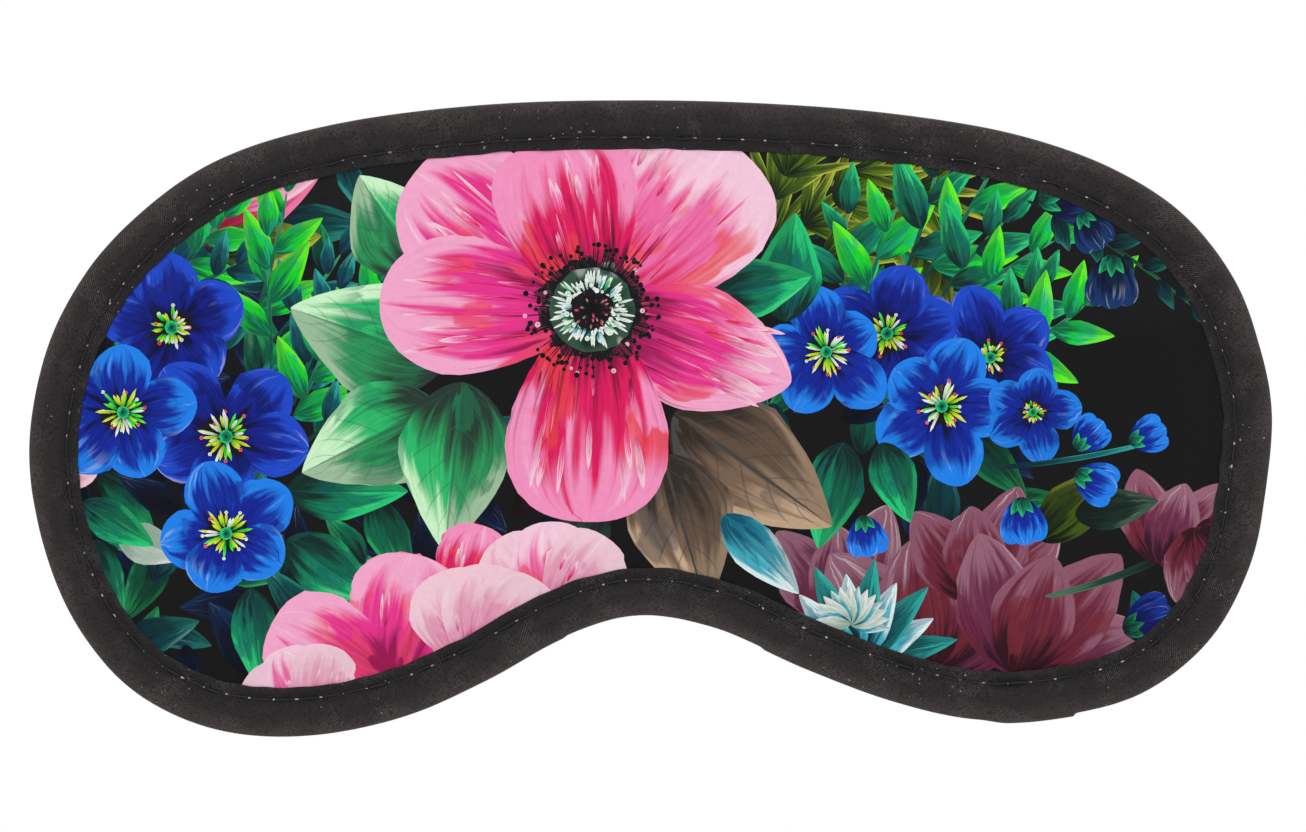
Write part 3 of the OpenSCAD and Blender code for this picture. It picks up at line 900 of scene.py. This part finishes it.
    # Leaves round the large flower
    p.leaves("emerald", [(22, 16, 84, 18, 11), (10, 20, 12, 17, 10), (32, -4, -104, 18, 10),
                         (38, -4, -70, 14, 8)])
    p.leaves("mint", [(-38, 24, 122, 19, 16), (-34, 9, 160, 27, 20), (-35, 2, 206, 25, 18),
                      (-31, 6, 264, 28, 19)])
    p.leaves("brown", [(4, 1, -36, 32, 20), (2, -6, -74, 26, 18)], ribs=1.0)
    p.leaf("slate", -8, -14, 240, 16, 9)
    p.leaf("ice", 12, -16, -46, 18, 8)
    for k in range(9):
        p.leaf("ice" if k % 2 else "teal", 34, -40, 12 + 17 * k, 17 - 2.5 * (k % 2), 5.4)
    for k in range(14):
        p.leaf("snow" if k % 3 else "ice", 33, -34, 14 * k - 6, 6.5, 2.4, ribs=0.0, dim=0.85)
    # Pink cluster low on the left
    p.bloom(["rose", "rose", "hot_pink"], -32, -32, 94, 15, 42, 4)
    p.bloom(["blush", "pale_pink"], -16, -33, 92, 16, 34, 3)
    p.bloom(["pink", "hot_pink", "pink"], -43, -44, 98, 22, 36, 4)
    p.bloom(["blush", "pale_pink"], -56, -50, 112, 13, 36, 3)
    p.bloom(["blush", "blush"], -28, -42, 86, 18, 26, 3)
    anemone(p, -9.7, 17.9)
    return p.motifs


def printed_cover():
    """Printed front fabric: one mesh in which every motif has its own triangles."""
    motifs = floral_print()
    rim = OUTLINE.inset(1.0, 360)
    loops = [rim] + [m["outline"] for m in motifs]
    points, triangles, over = triangulate(loops, grid_inside(rim, 1.8, 0.8))
    top = np.array([max(o) if 0 in o else -1 for o in over])
    a, b, c = (points[triangles[:, k]] for k in range(3))
    area = (b[:, 0] - a[:, 0]) * (c[:, 1] - a[:, 1]) - (b[:, 1] - a[:, 1]) * (c[:, 0] - a[:, 0])
    kept = (top >= 0) & (area > 1e-9)
    triangles, top = triangles[kept], top[kept]
    y = FRONT_EDGE_Y - rise(points, from_edge(points))
    cover = slab("front_cover_cloth", points, triangles, y, y + COVER_T)
    corners = triangles.ravel()
    owner = np.repeat(top, 3)
    at = points[corners]
    count = len(corners)
    petal, style = np.zeros((count, 3)), np.zeros((count, 3))
    colours = np.tile(linear(GROUND), (count, 1, 1))
    # The black ground's own coordinates are its place on the mask
    petal[:, :2] = at / 40
    for number in np.unique(owner[owner > 0]):
        motif = motifs[number - 1]
        mine = owner == number
        petal[mine, :2] = motif["frame"](at[mine])
        petal[mine, 2] = motif["seed"]
        style[mine] = motif["style"]
        colours[mine] = motif["colours"]
    spare = len(cover.data.loops) - count
    for name, values in (("petal", petal), ("style", style)):
        values = np.vstack([values, np.zeros((spare, 3))]).astype(np.float32)
        cover.data.attributes.new(name, "FLOAT_VECTOR", "CORNER").data.foreach_set("vector", values.ravel())
    for k, name in enumerate(("base", "mid", "tip", "accent")):
        tones = np.vstack([colours[:, k], np.tile(linear(GROUND)[k], (spare, 1))])
        rgba = np.hstack([tones, np.ones((len(tones), 1))]).astype(np.float32)
        cover.data.attributes.new(name, "FLOAT_COLOR", "CORNER").data.foreach_set("color", rgba.ravel())
    return cover


# ---- Layers of the pad -------------------------------------------------------------------------------

def layer_grid(inset, step):
    """Triangulated area inside the mask's edge: (points, triangles)."""
    rim = OUTLINE.inset(inset, int(OUTLINE.length / step))
    points, triangles, over = triangulate([rim], grid_inside(rim, step, step * 0.5))
    return points, triangles[np.array([0 in o for o in over])]


def pad_layers():
    """Light-blocking layer, foam and lining, each following the crowned front or the face side."""
    points, triangles = layer_grid(1.1, 2.0)
    depth = from_edge(points)
    front = FRONT_EDGE_Y - rise(points, depth)
    back = BACK_EDGE_Y + rise(points, depth, back=True)
    skin = 0.03
    blackout = slab("blackout_cloth", points, triangles, front + COVER_T + skin, front + COVER_T + BLACKOUT_T)
    foam = slab("foam_body", points, triangles, front + COVER_T + BLACKOUT_T + skin, back - LINING_T - skin)
    lining = slab("lining_cloth", points, triangles, back - LINING_T, back)
    return blackout, foam, lining


# ---- Edge binding ------------------------------------------------------------------------------------

# One leg of the folded tape, from its inner fold to the mask's edge: [distance from the edge, height]
STITCHED_H = 0.33
LEG = [(8.0, 0.04), (8.16, 0.30), (7.95, 0.58), (7.4, 0.68), (6.85, 0.52), (STITCH_INSET, STITCHED_H),
       (5.5, 0.56), (4.4, 0.82), (3.1, 0.92), (1.9, 0.80), (0.9, 0.42), (0.26, -0.25), (0.02, -0.95)]
LEG_INSIDE = [(0.66, -0.95), (0.75, -0.3), (1.3, 0.0), (4.5, 0.03), (7.9, 0.03)]
STATIONS = 1152
# Where the tape's end is lapped over its start, how far, how much it stands up and out there, the slant of
# its cut and the length over which the lap fades out
LAP_AT = (70.0, -48.8)
LAP_L = 11.0
LAP_RISE = 0.42
LAP_OUT = 0.45
LAP_SLANT = 0.7
LAP_FADE = 5.0
# Room under the tape's back leg for the strap's ends
POCKET_H = STRAP_T + 0.05
# Stretch over the nose where the tape is pulled tighter round the edge: from x to x, below z, by how much,
# and the width of its two notches
NOSE_TIGHT = (-14.5, 18.9)
NOSE_Z = -25.0
TIGHT_IN = 0.22
NOTCH_W = 0.9
# Width of the tape, from the edge in, that is pushed out at the lap and pulled in over the nose
ROLL_W = 4.5
# Depth and width of the furrow at each stitch
FURROW = 0.12
FURROW_W = 0.75
# Height and width of the drag lines beside the furrow, and how far from the edge they are highest
DRAG = 0.07
DRAG_W = 2.2
DRAG_AT = 4.6
# Height of the tape's own ripples
RIPPLE = 0.10


def ripple(s, across, seed, waves=10):
    """Soft unevenness along the tape, about -1 to 1, that joins up round the mask."""
    rng = np.random.default_rng(seed)
    total = 0.0 * (s + across)
    for _ in range(waves):
        turns = rng.integers(12, 95)
        slant = rng.uniform(-0.8, 0.8)
        phase = rng.uniform(0, 6.28)
        total = total + np.sin(2 * math.pi * turns * s / OUTLINE.length + slant * across + phase)
    return total / math.sqrt(waves)


STITCH_LINE = ClosedCurve(OUTLINE.inset(STITCH_INSET, 900))
STITCH_PITCH = STITCH_LINE.length / STITCHES
LAP_SAMPLE = np.argmin(np.linalg.norm(EDGE_SAMPLES - np.array(LAP_AT), axis=1))
LAP_S = LAP_SAMPLE * OUTLINE.length / len(EDGE_SAMPLES)


def lap_at(s, depth):
    """1 where the tape's end lies over its start, with a slanted cut."""
    past = np.mod(s - LAP_S + LAP_SLANT * depth + OUTLINE.length / 2, OUTLINE.length) - OUTLINE.length / 2
    return smooth(past / 0.5 + 0.5) * (1 - smooth((past - LAP_L) / LAP_FADE))


def tape_edge(s, depth):
    """Distance that the tape stands out from its drawn line, most at the edge."""
    x, z = np.moveaxis(OUTLINE.at(s), -1, 0)
    tight = smooth((x - NOSE_TIGHT[0]) / NOTCH_W) * smooth((NOSE_TIGHT[1] - x) / NOTCH_W) * (z < NOSE_Z)
    return (LAP_OUT * lap_at(s, 0 * depth) - TIGHT_IN * tight) * smooth((ROLL_W - depth) / ROLL_W)


def tape_height(s, depth, height, back):
    """Height of the tape's face with its puckers, its lap and the strap's pockets."""
    groove = np.exp(-(((depth - STITCH_INSET) / FURROW_W) ** 2))
    turn = 2 * math.pi * (STITCHES * s / OUTLINE.length + (0.5 if back else 0.0))
    drag = np.exp(-(((depth - DRAG_AT) / DRAG_W) ** 2))
    made = height - FURROW * groove * (0.5 + 0.5 * np.cos(turn))
    made = made + DRAG * drag * np.cos(turn + 0.9 * (depth - STITCH_INSET))
    made = made + RIPPLE * ripple(s, depth, 5 + back) + LAP_RISE * lap_at(s, depth)
    if back:
        made = made + POCKET_H * at_strap_end(OUTLINE.at(s), 2.5) * smooth((depth - 0.4) / 2.2)
    return made


def binding():
    """Bias tape folded over the edge: a closed U-shaped section swept round the mask."""
    face = spline(LEG, 3, closed=False)
    inner = spline(LEG_INSIDE, 2, closed=False)
    s = np.arange(STATIONS)[:, None] * OUTLINE.length / STATIONS
    columns, across = [], []
    for leg, back, order in ((face, 0, 1), (face, 1, -1), (inner, 1, -1), (inner, 0, 1)):
        side = leg[::order]
        depth = np.broadcast_to(side[:, 0], (STATIONS, len(side)))
        height = tape_height(s, depth, side[:, 1], back) if leg is face else side[:, 1] + 0 * s
        if leg is inner and back:
            height = height + POCKET_H * at_strap_end(OUTLINE.at(s), 2.5) * smooth((depth - 0.9) / 2.0)
        width = 1 + 0.010 * ripple(s, 0 * depth, 11 + back) * (leg is face)
        reach = depth * width - (tape_edge(s, depth) if leg is face else 0)
        flat = OUTLINE.at(s[:, 0])[:, None] + OUTLINE.inward(s[:, 0])[:, None] * reach[..., None]
        y = BACK_EDGE_Y + height if back else FRONT_EDGE_Y - height
        columns.append(np.stack([flat[..., 0], y, flat[..., 1]], -1))
        across.append(side[:, 0] if not back else -side[:, 0])
    rings = np.concatenate(columns, 1)
    size = rings.shape[1]
    tape = make_mesh("edge_binding_tape", rings.reshape(-1, 3), ring_faces(STATIONS, size, True))
    # The map has one more column than the mesh, so that it doesn't run back across the whole tape
    layer = tape.data.uv_layers.new(name="UVMap")
    i = np.arange(STATIONS)[:, None]
    j = np.arange(size)[None, :]
    step = OUTLINE.length / STATIONS
    v = np.concatenate(across)
    v_after = np.append(v[1:], v[-1])
    corner_u = np.stack([i + 0 * j, i + 0 * j, i + 1 + 0 * j, i + 1 + 0 * j], -1) * step
    corner_v = np.stack([v[j] + 0 * i, v_after[j] + 0 * i, v_after[j] + 0 * i, v[j] + 0 * i], -1)
    layer.data.foreach_set("uv", np.stack([corner_u, corner_v], -1).astype(np.float32).ravel())
    return tape


# ---- Threads -----------------------------------------------------------------------------------------

class Tubes:
    """Many short threads in one mesh."""

    def __init__(self, sides=8):
        self.sides = sides
        self.points, self.faces, self.uv, self.material = [], [], [], []

    def add(self, path, radius, material=0):
        """Thread with round ends along a path; radius is one number or one per point."""
        path = np.asarray(path, float)
        radius = np.broadcast_to(radius, len(path))
        d = np.gradient(path, axis=0)
        d /= np.linalg.norm(d, axis=1, keepdims=True)
        helper = np.array([0.0, 1.0, 0.0]) if abs(d[:, 1]).max() < 0.9 else np.array([0.0, 0.0, 1.0])
        side = np.cross(d, helper)
        side /= np.linalg.norm(side, axis=1, keepdims=True)
        up = np.cross(side, d)
        a = np.arange(self.sides) * 2 * math.pi / self.sides
        rings = (path[:, None] + radius[:, None, None]
                 * (np.cos(a)[None, :, None] * side[:, None] + np.sin(a)[None, :, None] * up[:, None]))
        first = len(self.points)
        self.points.extend(rings.reshape(-1, 3))
        count = len(path)
        quads = ring_faces(count, self.sides, False)
        self.faces += [[first + i for i in q] for q in quads]
        self.faces.append([first + i for i in range(self.sides)][::-1])
        self.faces.append([first + (count - 1) * self.sides + i for i in range(self.sides)])
        self.material += [material] * (len(quads) + 2)
        run = running_length(path)[:, None]
        self.uv.extend(np.stack(np.broadcast_arrays(run, a[None] * radius[:, None]), -1).reshape(-1, 2))

    def make(self, name, *materials):
        obj = make_mesh(name, self.points, self.faces)
        set_uv(obj, self.uv)
        for material in materials:
            obj.data.materials.append(material)
        obj.data.polygons.foreach_set("material_index", self.material)
        return obj


THREAD_R = 0.17
# Share of the pitch at which a stitch starts and that it covers
STITCH_START = 0.06
STITCH_SHARE = 0.86
# How deep a stitch's ends are sunk in the tape, and how much it arches up between them
STITCH_SUNK = 0.16
STITCH_ARCH = 0.30


def topstitch(name, back, materials):
    """Row of lockstitches: a thread between each two needle holes, and the other thread's knot in each."""
    rng = np.random.default_rng(31 + back)
    tubes = Tubes()
    scale = OUTLINE.length / STITCH_LINE.length
    phase = 0.5 if back else 0.0
    sign, edge = (1, BACK_EDGE_Y) if back else (-1, FRONT_EDGE_Y)

    def place(s, lift):
        at = STITCH_LINE.at(s)
        height = tape_height(s * scale, np.full(np.shape(s), STITCH_INSET), STITCHED_H, back)
        return np.stack([at[..., 0], edge + sign * (height + lift), at[..., 1]], -1)

    t = np.linspace(0, 1, 9)
    for k in range(STITCHES):
        start = (k + phase + STITCH_START) * STITCH_PITCH
        reach = STITCH_PITCH * (STITCH_SHARE + 0.03 * rng.normal())
        bow = 0.1 * rng.normal()
        path = place(start + t * reach, -STITCH_SUNK + STITCH_ARCH * np.sin(math.pi * t) ** 0.5)
        sideways = STITCH_LINE.inward(start + t * reach) * (bow * np.sin(math.pi * t))[:, None]
        path[:, 0] += sideways[:, 0]
        path[:, 2] += sideways[:, 1]
        tubes.add(path, THREAD_R)
        hole = (k + phase) * STITCH_PITCH + 0.1 * rng.normal()
        reach = rng.uniform(0.15, 0.42)
        tubes.add(place(hole + np.linspace(-reach, reach, 4), np.array([-0.05, 0.08, 0.09, -0.05])),
                  np.array([0.06, 0.15, 0.16, 0.05]) * rng.uniform(0.5, 1.15), 1)
    return tubes.make(name, *materials)


# ---- Strap -------------------------------------------------------------------------------------------

RING_LOW, RING_HIGH = box_mm("strap_ring")
SLIDER_LOW, SLIDER_HIGH = box_mm("strap_slider")
BAR_R = (RING_HIGH[0] - RING_LOW[0]) / 2
RING_X = (RING_LOW[0] + RING_HIGH[0]) / 2
RING_FRONT = np.array([RING_X, RING_LOW[1] + BAR_R])
RING_REAR = np.array([RING_X, RING_HIGH[1] - BAR_R])
SLIDER_X = (SLIDER_LOW[0] + SLIDER_HIGH[0]) / 2
SLIDER_PITCH = (SLIDER_HIGH[1] - SLIDER_LOW[1]) / 2 - BAR_R
SLIDER_Y = (SLIDER_LOW[1] + SLIDER_HIGH[1]) / 2
SLIDER_BARS = [np.array([SLIDER_X, SLIDER_Y + k * SLIDER_PITCH]) for k in (-1, 0, 1)]
# Radii of the webbing's middle line: snug on a bar, in the loose fold, woven through, and over the sewn loop
SNUG_R = BAR_R + 0.1 + STRAP_T / 2
LOOSE_R = BAR_R + 1.1 + STRAP_T / 2
WEAVE_R = BAR_R + 0.25 + STRAP_T / 2
OVER_R = SLIDER_PITCH - WEAVE_R
DOUBLED_R = SLIDER_PITCH - SNUG_R
# Gap between two layers that lie on each other
PLY_GAP = 0.02
INNER_X = SLIDER_X + DOUBLED_R
TAIL_X = INNER_X + STRAP_T + PLY_GAP
LAP_Y = SLIDER_Y - 9
TAIL_Y = BACK_EDGE_Y + PLY_GAP + STRAP_T / 2
TAIL_END_X = box_mm("strap_right_front")[1][0]
TURN_R = 1.0
STRAIGHT_Y = 80.0
BACK_DEPTH = STRAP_HIGH[1] - STRAP_T / 2 - STRAIGHT_Y
# Where the webbing passes to its next piece: on the left in the bend, on the right while still straight
LEFT_CUT_Y = 98.0
RIGHT_CUT_Y = 70.0
# Y of the tab's end, which is folded back round the ring, and of the first row that sews it down
TAB_END_Y = 1.6
TAB_TACK_Y = 2.6
# Rows of a bar tack, 1 mm apart, and the stitches in each
TACK_ROWS = 4
TACK_STITCHES = 6


def arc(centre, radius, start, end, step=6.0):
    """Points of an arc in plan, with its angles in degrees."""
    a = np.radians(np.linspace(start, end, max(3, int(abs(end - start) / step))))
    return centre + radius * np.stack([np.cos(a), np.sin(a)], -1)


def soften(path, reach=0.8, step=0.4):
    """Evenly spaced path with its corners eased, and its ends and their directions kept."""
    path = np.asarray(path, float)
    run = running_length(path)
    count = max(4, int(run[-1] / step))
    s = np.linspace(0, run[-1], count)
    even = np.stack([np.interp(s, run, path[:, k]) for k in (0, 1)], -1)
    passes = int(round((reach / step) ** 2))
    for _ in range(passes):
        even[2:-2] = (even[1:-3] + 2 * even[2:-2] + even[3:-1]) / 4
    return even


def webbing(name, path, start=0.0):
    """Ribbed elastic standing on edge along a path in plan, and the strap's length up to its far end."""
    path = np.asarray(path, float)
    d = np.gradient(path, axis=0, edge_order=2)
    d /= np.linalg.norm(d, axis=1, keepdims=True)
    normal = np.stack([-d[:, 1], d[:, 0]], -1)
    run = start + running_length(path)
    z = np.linspace(-STRAP_W / 2, STRAP_W / 2, 81)
    selvedge = np.clip((STRAP_W / 2 - np.abs(z)) / SELVEDGE_W, 0, 1)
    half = STRAP_T / 2 * np.sqrt(1 - (1 - selvedge) ** 2)
    half = half - RIB_RISE * (0.5 - 0.5 * np.cos(2 * math.pi * z / RIB_PITCH)) * selvedge
    loop_z = np.concatenate([z, z[::-1][1:-1]])
    loop_n = np.concatenate([half, -half[::-1][1:-1]])
    flat = path[:, None] + normal[:, None] * loop_n[:, None]
    rings = np.dstack([flat, np.broadcast_to(STRAP_Z + loop_z, flat.shape[:2])])
    size = len(loop_z)
    faces = ring_faces(len(path), size, False)
    faces += [list(range(size))[::-1], [(len(path) - 1) * size + k for k in range(size)]]
    obj = make_mesh(name, rings.reshape(-1, 3), faces)
    for cut_end in obj.data.polygons[-2:]:
        cut_end.use_smooth = False
    set_uv(obj, np.stack(np.broadcast_arrays(run[:, None], loop_z[None]), -1).reshape(-1, 2))
    return obj, run[-1]


def back_curve(start_deg, end_deg):
    """Half ellipse round the back of the head, from the right at 0 degrees to the left at 180."""
    a = np.radians(np.linspace(start_deg, end_deg, 8 * int(abs(end_deg - start_deg)) + 2))
    return np.stack([STRAP_X * np.cos(a), STRAIGHT_Y + BACK_DEPTH * np.sin(a)], -1)


def strap_pieces():
    """The webbing's names and paths, from its sewn end on, cut where it passes from one body to the next."""
    left = -STRAP_X
    bend_end = 180 - math.degrees(math.asin((LEFT_CUT_Y - STRAIGHT_Y) / BACK_DEPTH))
    turn = arc(np.array([left - TURN_R, TAIL_Y + TURN_R]), TURN_R, -90, 0)
    pocket = np.vstack([[[-TAIL_END_X, TAIL_Y]], turn])
    slider_a, slider_b, slider_c = SLIDER_BARS
    fold = np.vstack([[[left, LAP_Y], [left, RING_REAR[1] + 8]], arc(RING_REAR, LOOSE_R, 160, 370),
                      [[INNER_X, RING_REAR[1] + 8], [INNER_X, LAP_Y]]])
    weave = np.vstack([[[left, LAP_Y], [left, LAP_Y + 2]], arc(slider_a, WEAVE_R, 0, 81),
                       arc(slider_b, OVER_R, 270, 90), arc(slider_c, WEAVE_R, -81, 0),
                       [[left, slider_c[1] + 3]], back_curve(180, bend_end)])
    loop = np.vstack([[[INNER_X, LAP_Y]], arc(slider_a, DOUBLED_R, 0, 88), arc(slider_b, SNUG_R, 264, 45),
                      [[TAIL_X, slider_b[1] - 2.4], [TAIL_X, LAP_Y]]])
    tab_x = left + STRAP_T + PLY_GAP
    tab = np.vstack([pocket, [[left, RING_FRONT[1] - 5]], arc(RING_FRONT, SNUG_R, 200, -6),
                     [[tab_x, RING_FRONT[1] - 5], [tab_x, TAB_END_Y]]])
    back = np.vstack([back_curve(bend_end, 0), [[-left, RIGHT_CUT_Y]]])
    right = np.vstack([pocket, [[left, RIGHT_CUT_Y]]]) * np.array([-1, 1])
    return {
        "strap_ring_tab": soften(tab, 0.4),
        "strap_end_lap": soften(loop, 0.4)[::-1],
        "strap_left_fold": soften(fold)[::-1],
        "strap_left_side": soften(weave, 0.5),
        "strap_round_back": soften(back, 0.5),
        "strap_right_side": soften(right, 0.4)[::-1],
    }


def bar_tack(name, x_faces, y_from, material):
    """Zigzag of thread across the webbing, on both of its faces."""
    rng = np.random.default_rng(3)
    tubes = Tubes()
    height = STRAP_W - 3
    for x, outward in x_faces:
        for k in range(TACK_ROWS):
            y = y_from + k
            for m in range(TACK_STITCHES):
                low = STRAP_Z - height / 2 + m * height / TACK_STITCHES
                z = np.linspace(low + 0.15, low + height / TACK_STITCHES - 0.15, 7)
                bulge = 0.16 * np.sin(math.pi * np.linspace(0, 1, 7)) ** 0.5 - 0.06
                row = np.full(7, y + 0.05 * rng.normal())
                tubes.add(np.stack([x + outward * bulge, row, z], -1), THREAD_R)
    return tubes.make(name, material)


# ---- Studio ------------------------------------------------------------------------------------------

# The photographed field is this wide at the mask, seen from this far away
FIELD_W = 215.7
CAMERA_DISTANCE = 1500.0
CAMERA_AIM = (0.4, 0.4)
FLOOR_Z = -300.0
FLOOR_HALF = 2000.0
SENSOR_W = 36
# Light from the white surroundings, which the camera itself sees at full white
AMBIENT = 0.72
# Name, place and size in metres, and power of each lamp
LAMPS = [("key", (-0.7, -1.2, 1.1), 0.7, 7.0), ("fill", (0.9, -1.0, 0.2), 0.9, 2.0),
         ("rear", (0.2, 1.2, 0.9), 0.8, 6.0)]


def studio():
    """White surroundings, a pale floor, soft lamps and the camera in front of the mask."""
    scene = bpy.context.scene
    scene.view_settings.view_transform = "Standard"
    world = bpy.data.worlds.new("studio")
    scene.world = world
    world.use_nodes = True
    nodes, links = world.node_tree.nodes, world.node_tree.links
    back = nodes["Background"]
    back.inputs["Color"].default_value = (1, 1, 1, 1)
    path = nodes.new("ShaderNodeLightPath")
    level = nodes.new("ShaderNodeMapRange")
    level.inputs["To Min"].default_value = AMBIENT
    level.inputs["To Max"].default_value = 1.0
    links.new(path.outputs["Is Camera Ray"], level.inputs["Value"])
    links.new(level.outputs[0], back.inputs["Strength"])

    for name, place, size, power in LAMPS:
        light = bpy.data.lights.new(name, "AREA")
        light.shape = "DISK"
        light.size = size
        light.energy = power
        lamp = bpy.data.objects.new(name, light)
        lamp.location = place
        lamp.rotation_mode = "QUATERNION"
        lamp.rotation_quaternion = (-Vector(place)).to_track_quat("-Z", "Y")
        scene.collection.objects.link(lamp)

    corners = [(x * FLOOR_HALF, y * FLOOR_HALF, FLOOR_Z) for x, y in ((-1, -1), (1, -1), (1, 1), (-1, 1))]
    floor = make_mesh("floor", corners, [(0, 1, 2, 3)])
    pale = Nodes("floor")
    tone = pale.mix(pale.noise(pale.place(), 0.02, 3.0), (0.78, 0.78, 0.79), (0.84, 0.84, 0.84))
    floor.data.materials.append(pale.finish(tone, 0.8, 0.2))

    lens = bpy.data.cameras.new("camera")
    lens.sensor_width = SENSOR_W
    lens.lens = SENSOR_W * CAMERA_DISTANCE / FIELD_W
    lens.clip_end = 20
    camera = bpy.data.objects.new("camera", lens)
    camera.location = (CAMERA_AIM[0] * MM, (FRONT_EDGE_Y - CAMERA_DISTANCE) * MM, CAMERA_AIM[1] * MM)
    camera.rotation_euler = (math.pi / 2, 0, 0)
    scene.collection.objects.link(camera)
    scene.camera = camera


# ---- Assembly ----------------------------------------------------------------------------------------

def dress(obj, material, slot, *nodes):
    """Gives a piece its material and hides the CAD nodes that it stands for; the slot is not used."""
    if material:
        obj.data.materials.append(material)
    if nodes:
        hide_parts(*nodes)
    return obj


studio()

cover = dress(printed_cover(), print_material(), "printed_fabric", "front_cover")
blackout, foam, lining = pad_layers()
dress(blackout, blackout_material(), "blackout_fabric", "blackout_layer")
dress(foam, foam_material(), "foam", "foam_pad")
dress(lining, lining_material(), "lining_fabric", "back_lining")
tape = dress(binding(), tape_material(), "binding_tape", "edge_binding")
black_thread, knots = thread_material(), bobbin_material()
front_row = topstitch("topstitch_front", 0, (black_thread, knots))
dress(front_row, None, "thread", "binding_stitch_front")
back_row = topstitch("topstitch_back", 1, (black_thread, knots))
dress(back_row, None, "thread", "binding_stitch_back")
for piece in (cover, blackout, foam, lining, tape, front_row, back_row):
    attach(piece, "mask")

elastic = webbing_material()
paths = strap_pieces()
straps = {}
reached = 0.0
for name, path in paths.items():
    straps[name], reached = webbing(name, path, reached)
for name, *nodes in (
        ("strap_left_fold", "strap_doubled_layer", "strap_left_front"),
        ("strap_left_side", "strap_left_rear"),
        ("strap_end_lap", "strap_end_loop"),
        ("strap_ring_tab", "strap_tab"),
        ("strap_right_side", "strap_right_front", "strap_right_rear"),
        ("strap_round_back", "strap_back")):
    dress(straps[name], elastic, "elastic", *nodes)
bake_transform(straps["strap_left_fold"], "mask", "slider", start=(0, 0.019, 0), end=(0, LAP_Y * MM, 0))
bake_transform(straps["strap_left_side"])
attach(straps["strap_end_lap"], "slider")
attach(straps["strap_ring_tab"], "mask")
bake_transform(straps["strap_right_side"])
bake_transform(straps["strap_round_back"])

tab_faces = ((-STRAP_X - STRAP_T / 2, -1), (-STRAP_X + 1.5 * STRAP_T + PLY_GAP, 1))
tab_tack = bar_tack("ring_tab_tack", tab_faces, TAB_TACK_Y, black_thread)
end_faces = ((INNER_X - STRAP_T / 2, -1), (TAIL_X + STRAP_T / 2, 1))
end_tack = bar_tack("end_lap_tack", end_faces, LAP_Y + 1, black_thread)
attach(dress(tab_tack, None, "thread", "tab_stitch"), "mask")
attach(dress(end_tack, None, "thread", "strap_end_stitch"), "slider")

metal = metal_material()
for node in ("strap_ring", "strap_slider"):
    NODES[node].data.materials.clear()
    NODES[node].data.materials.append(metal)
    NODES[node].data.shade_smooth()
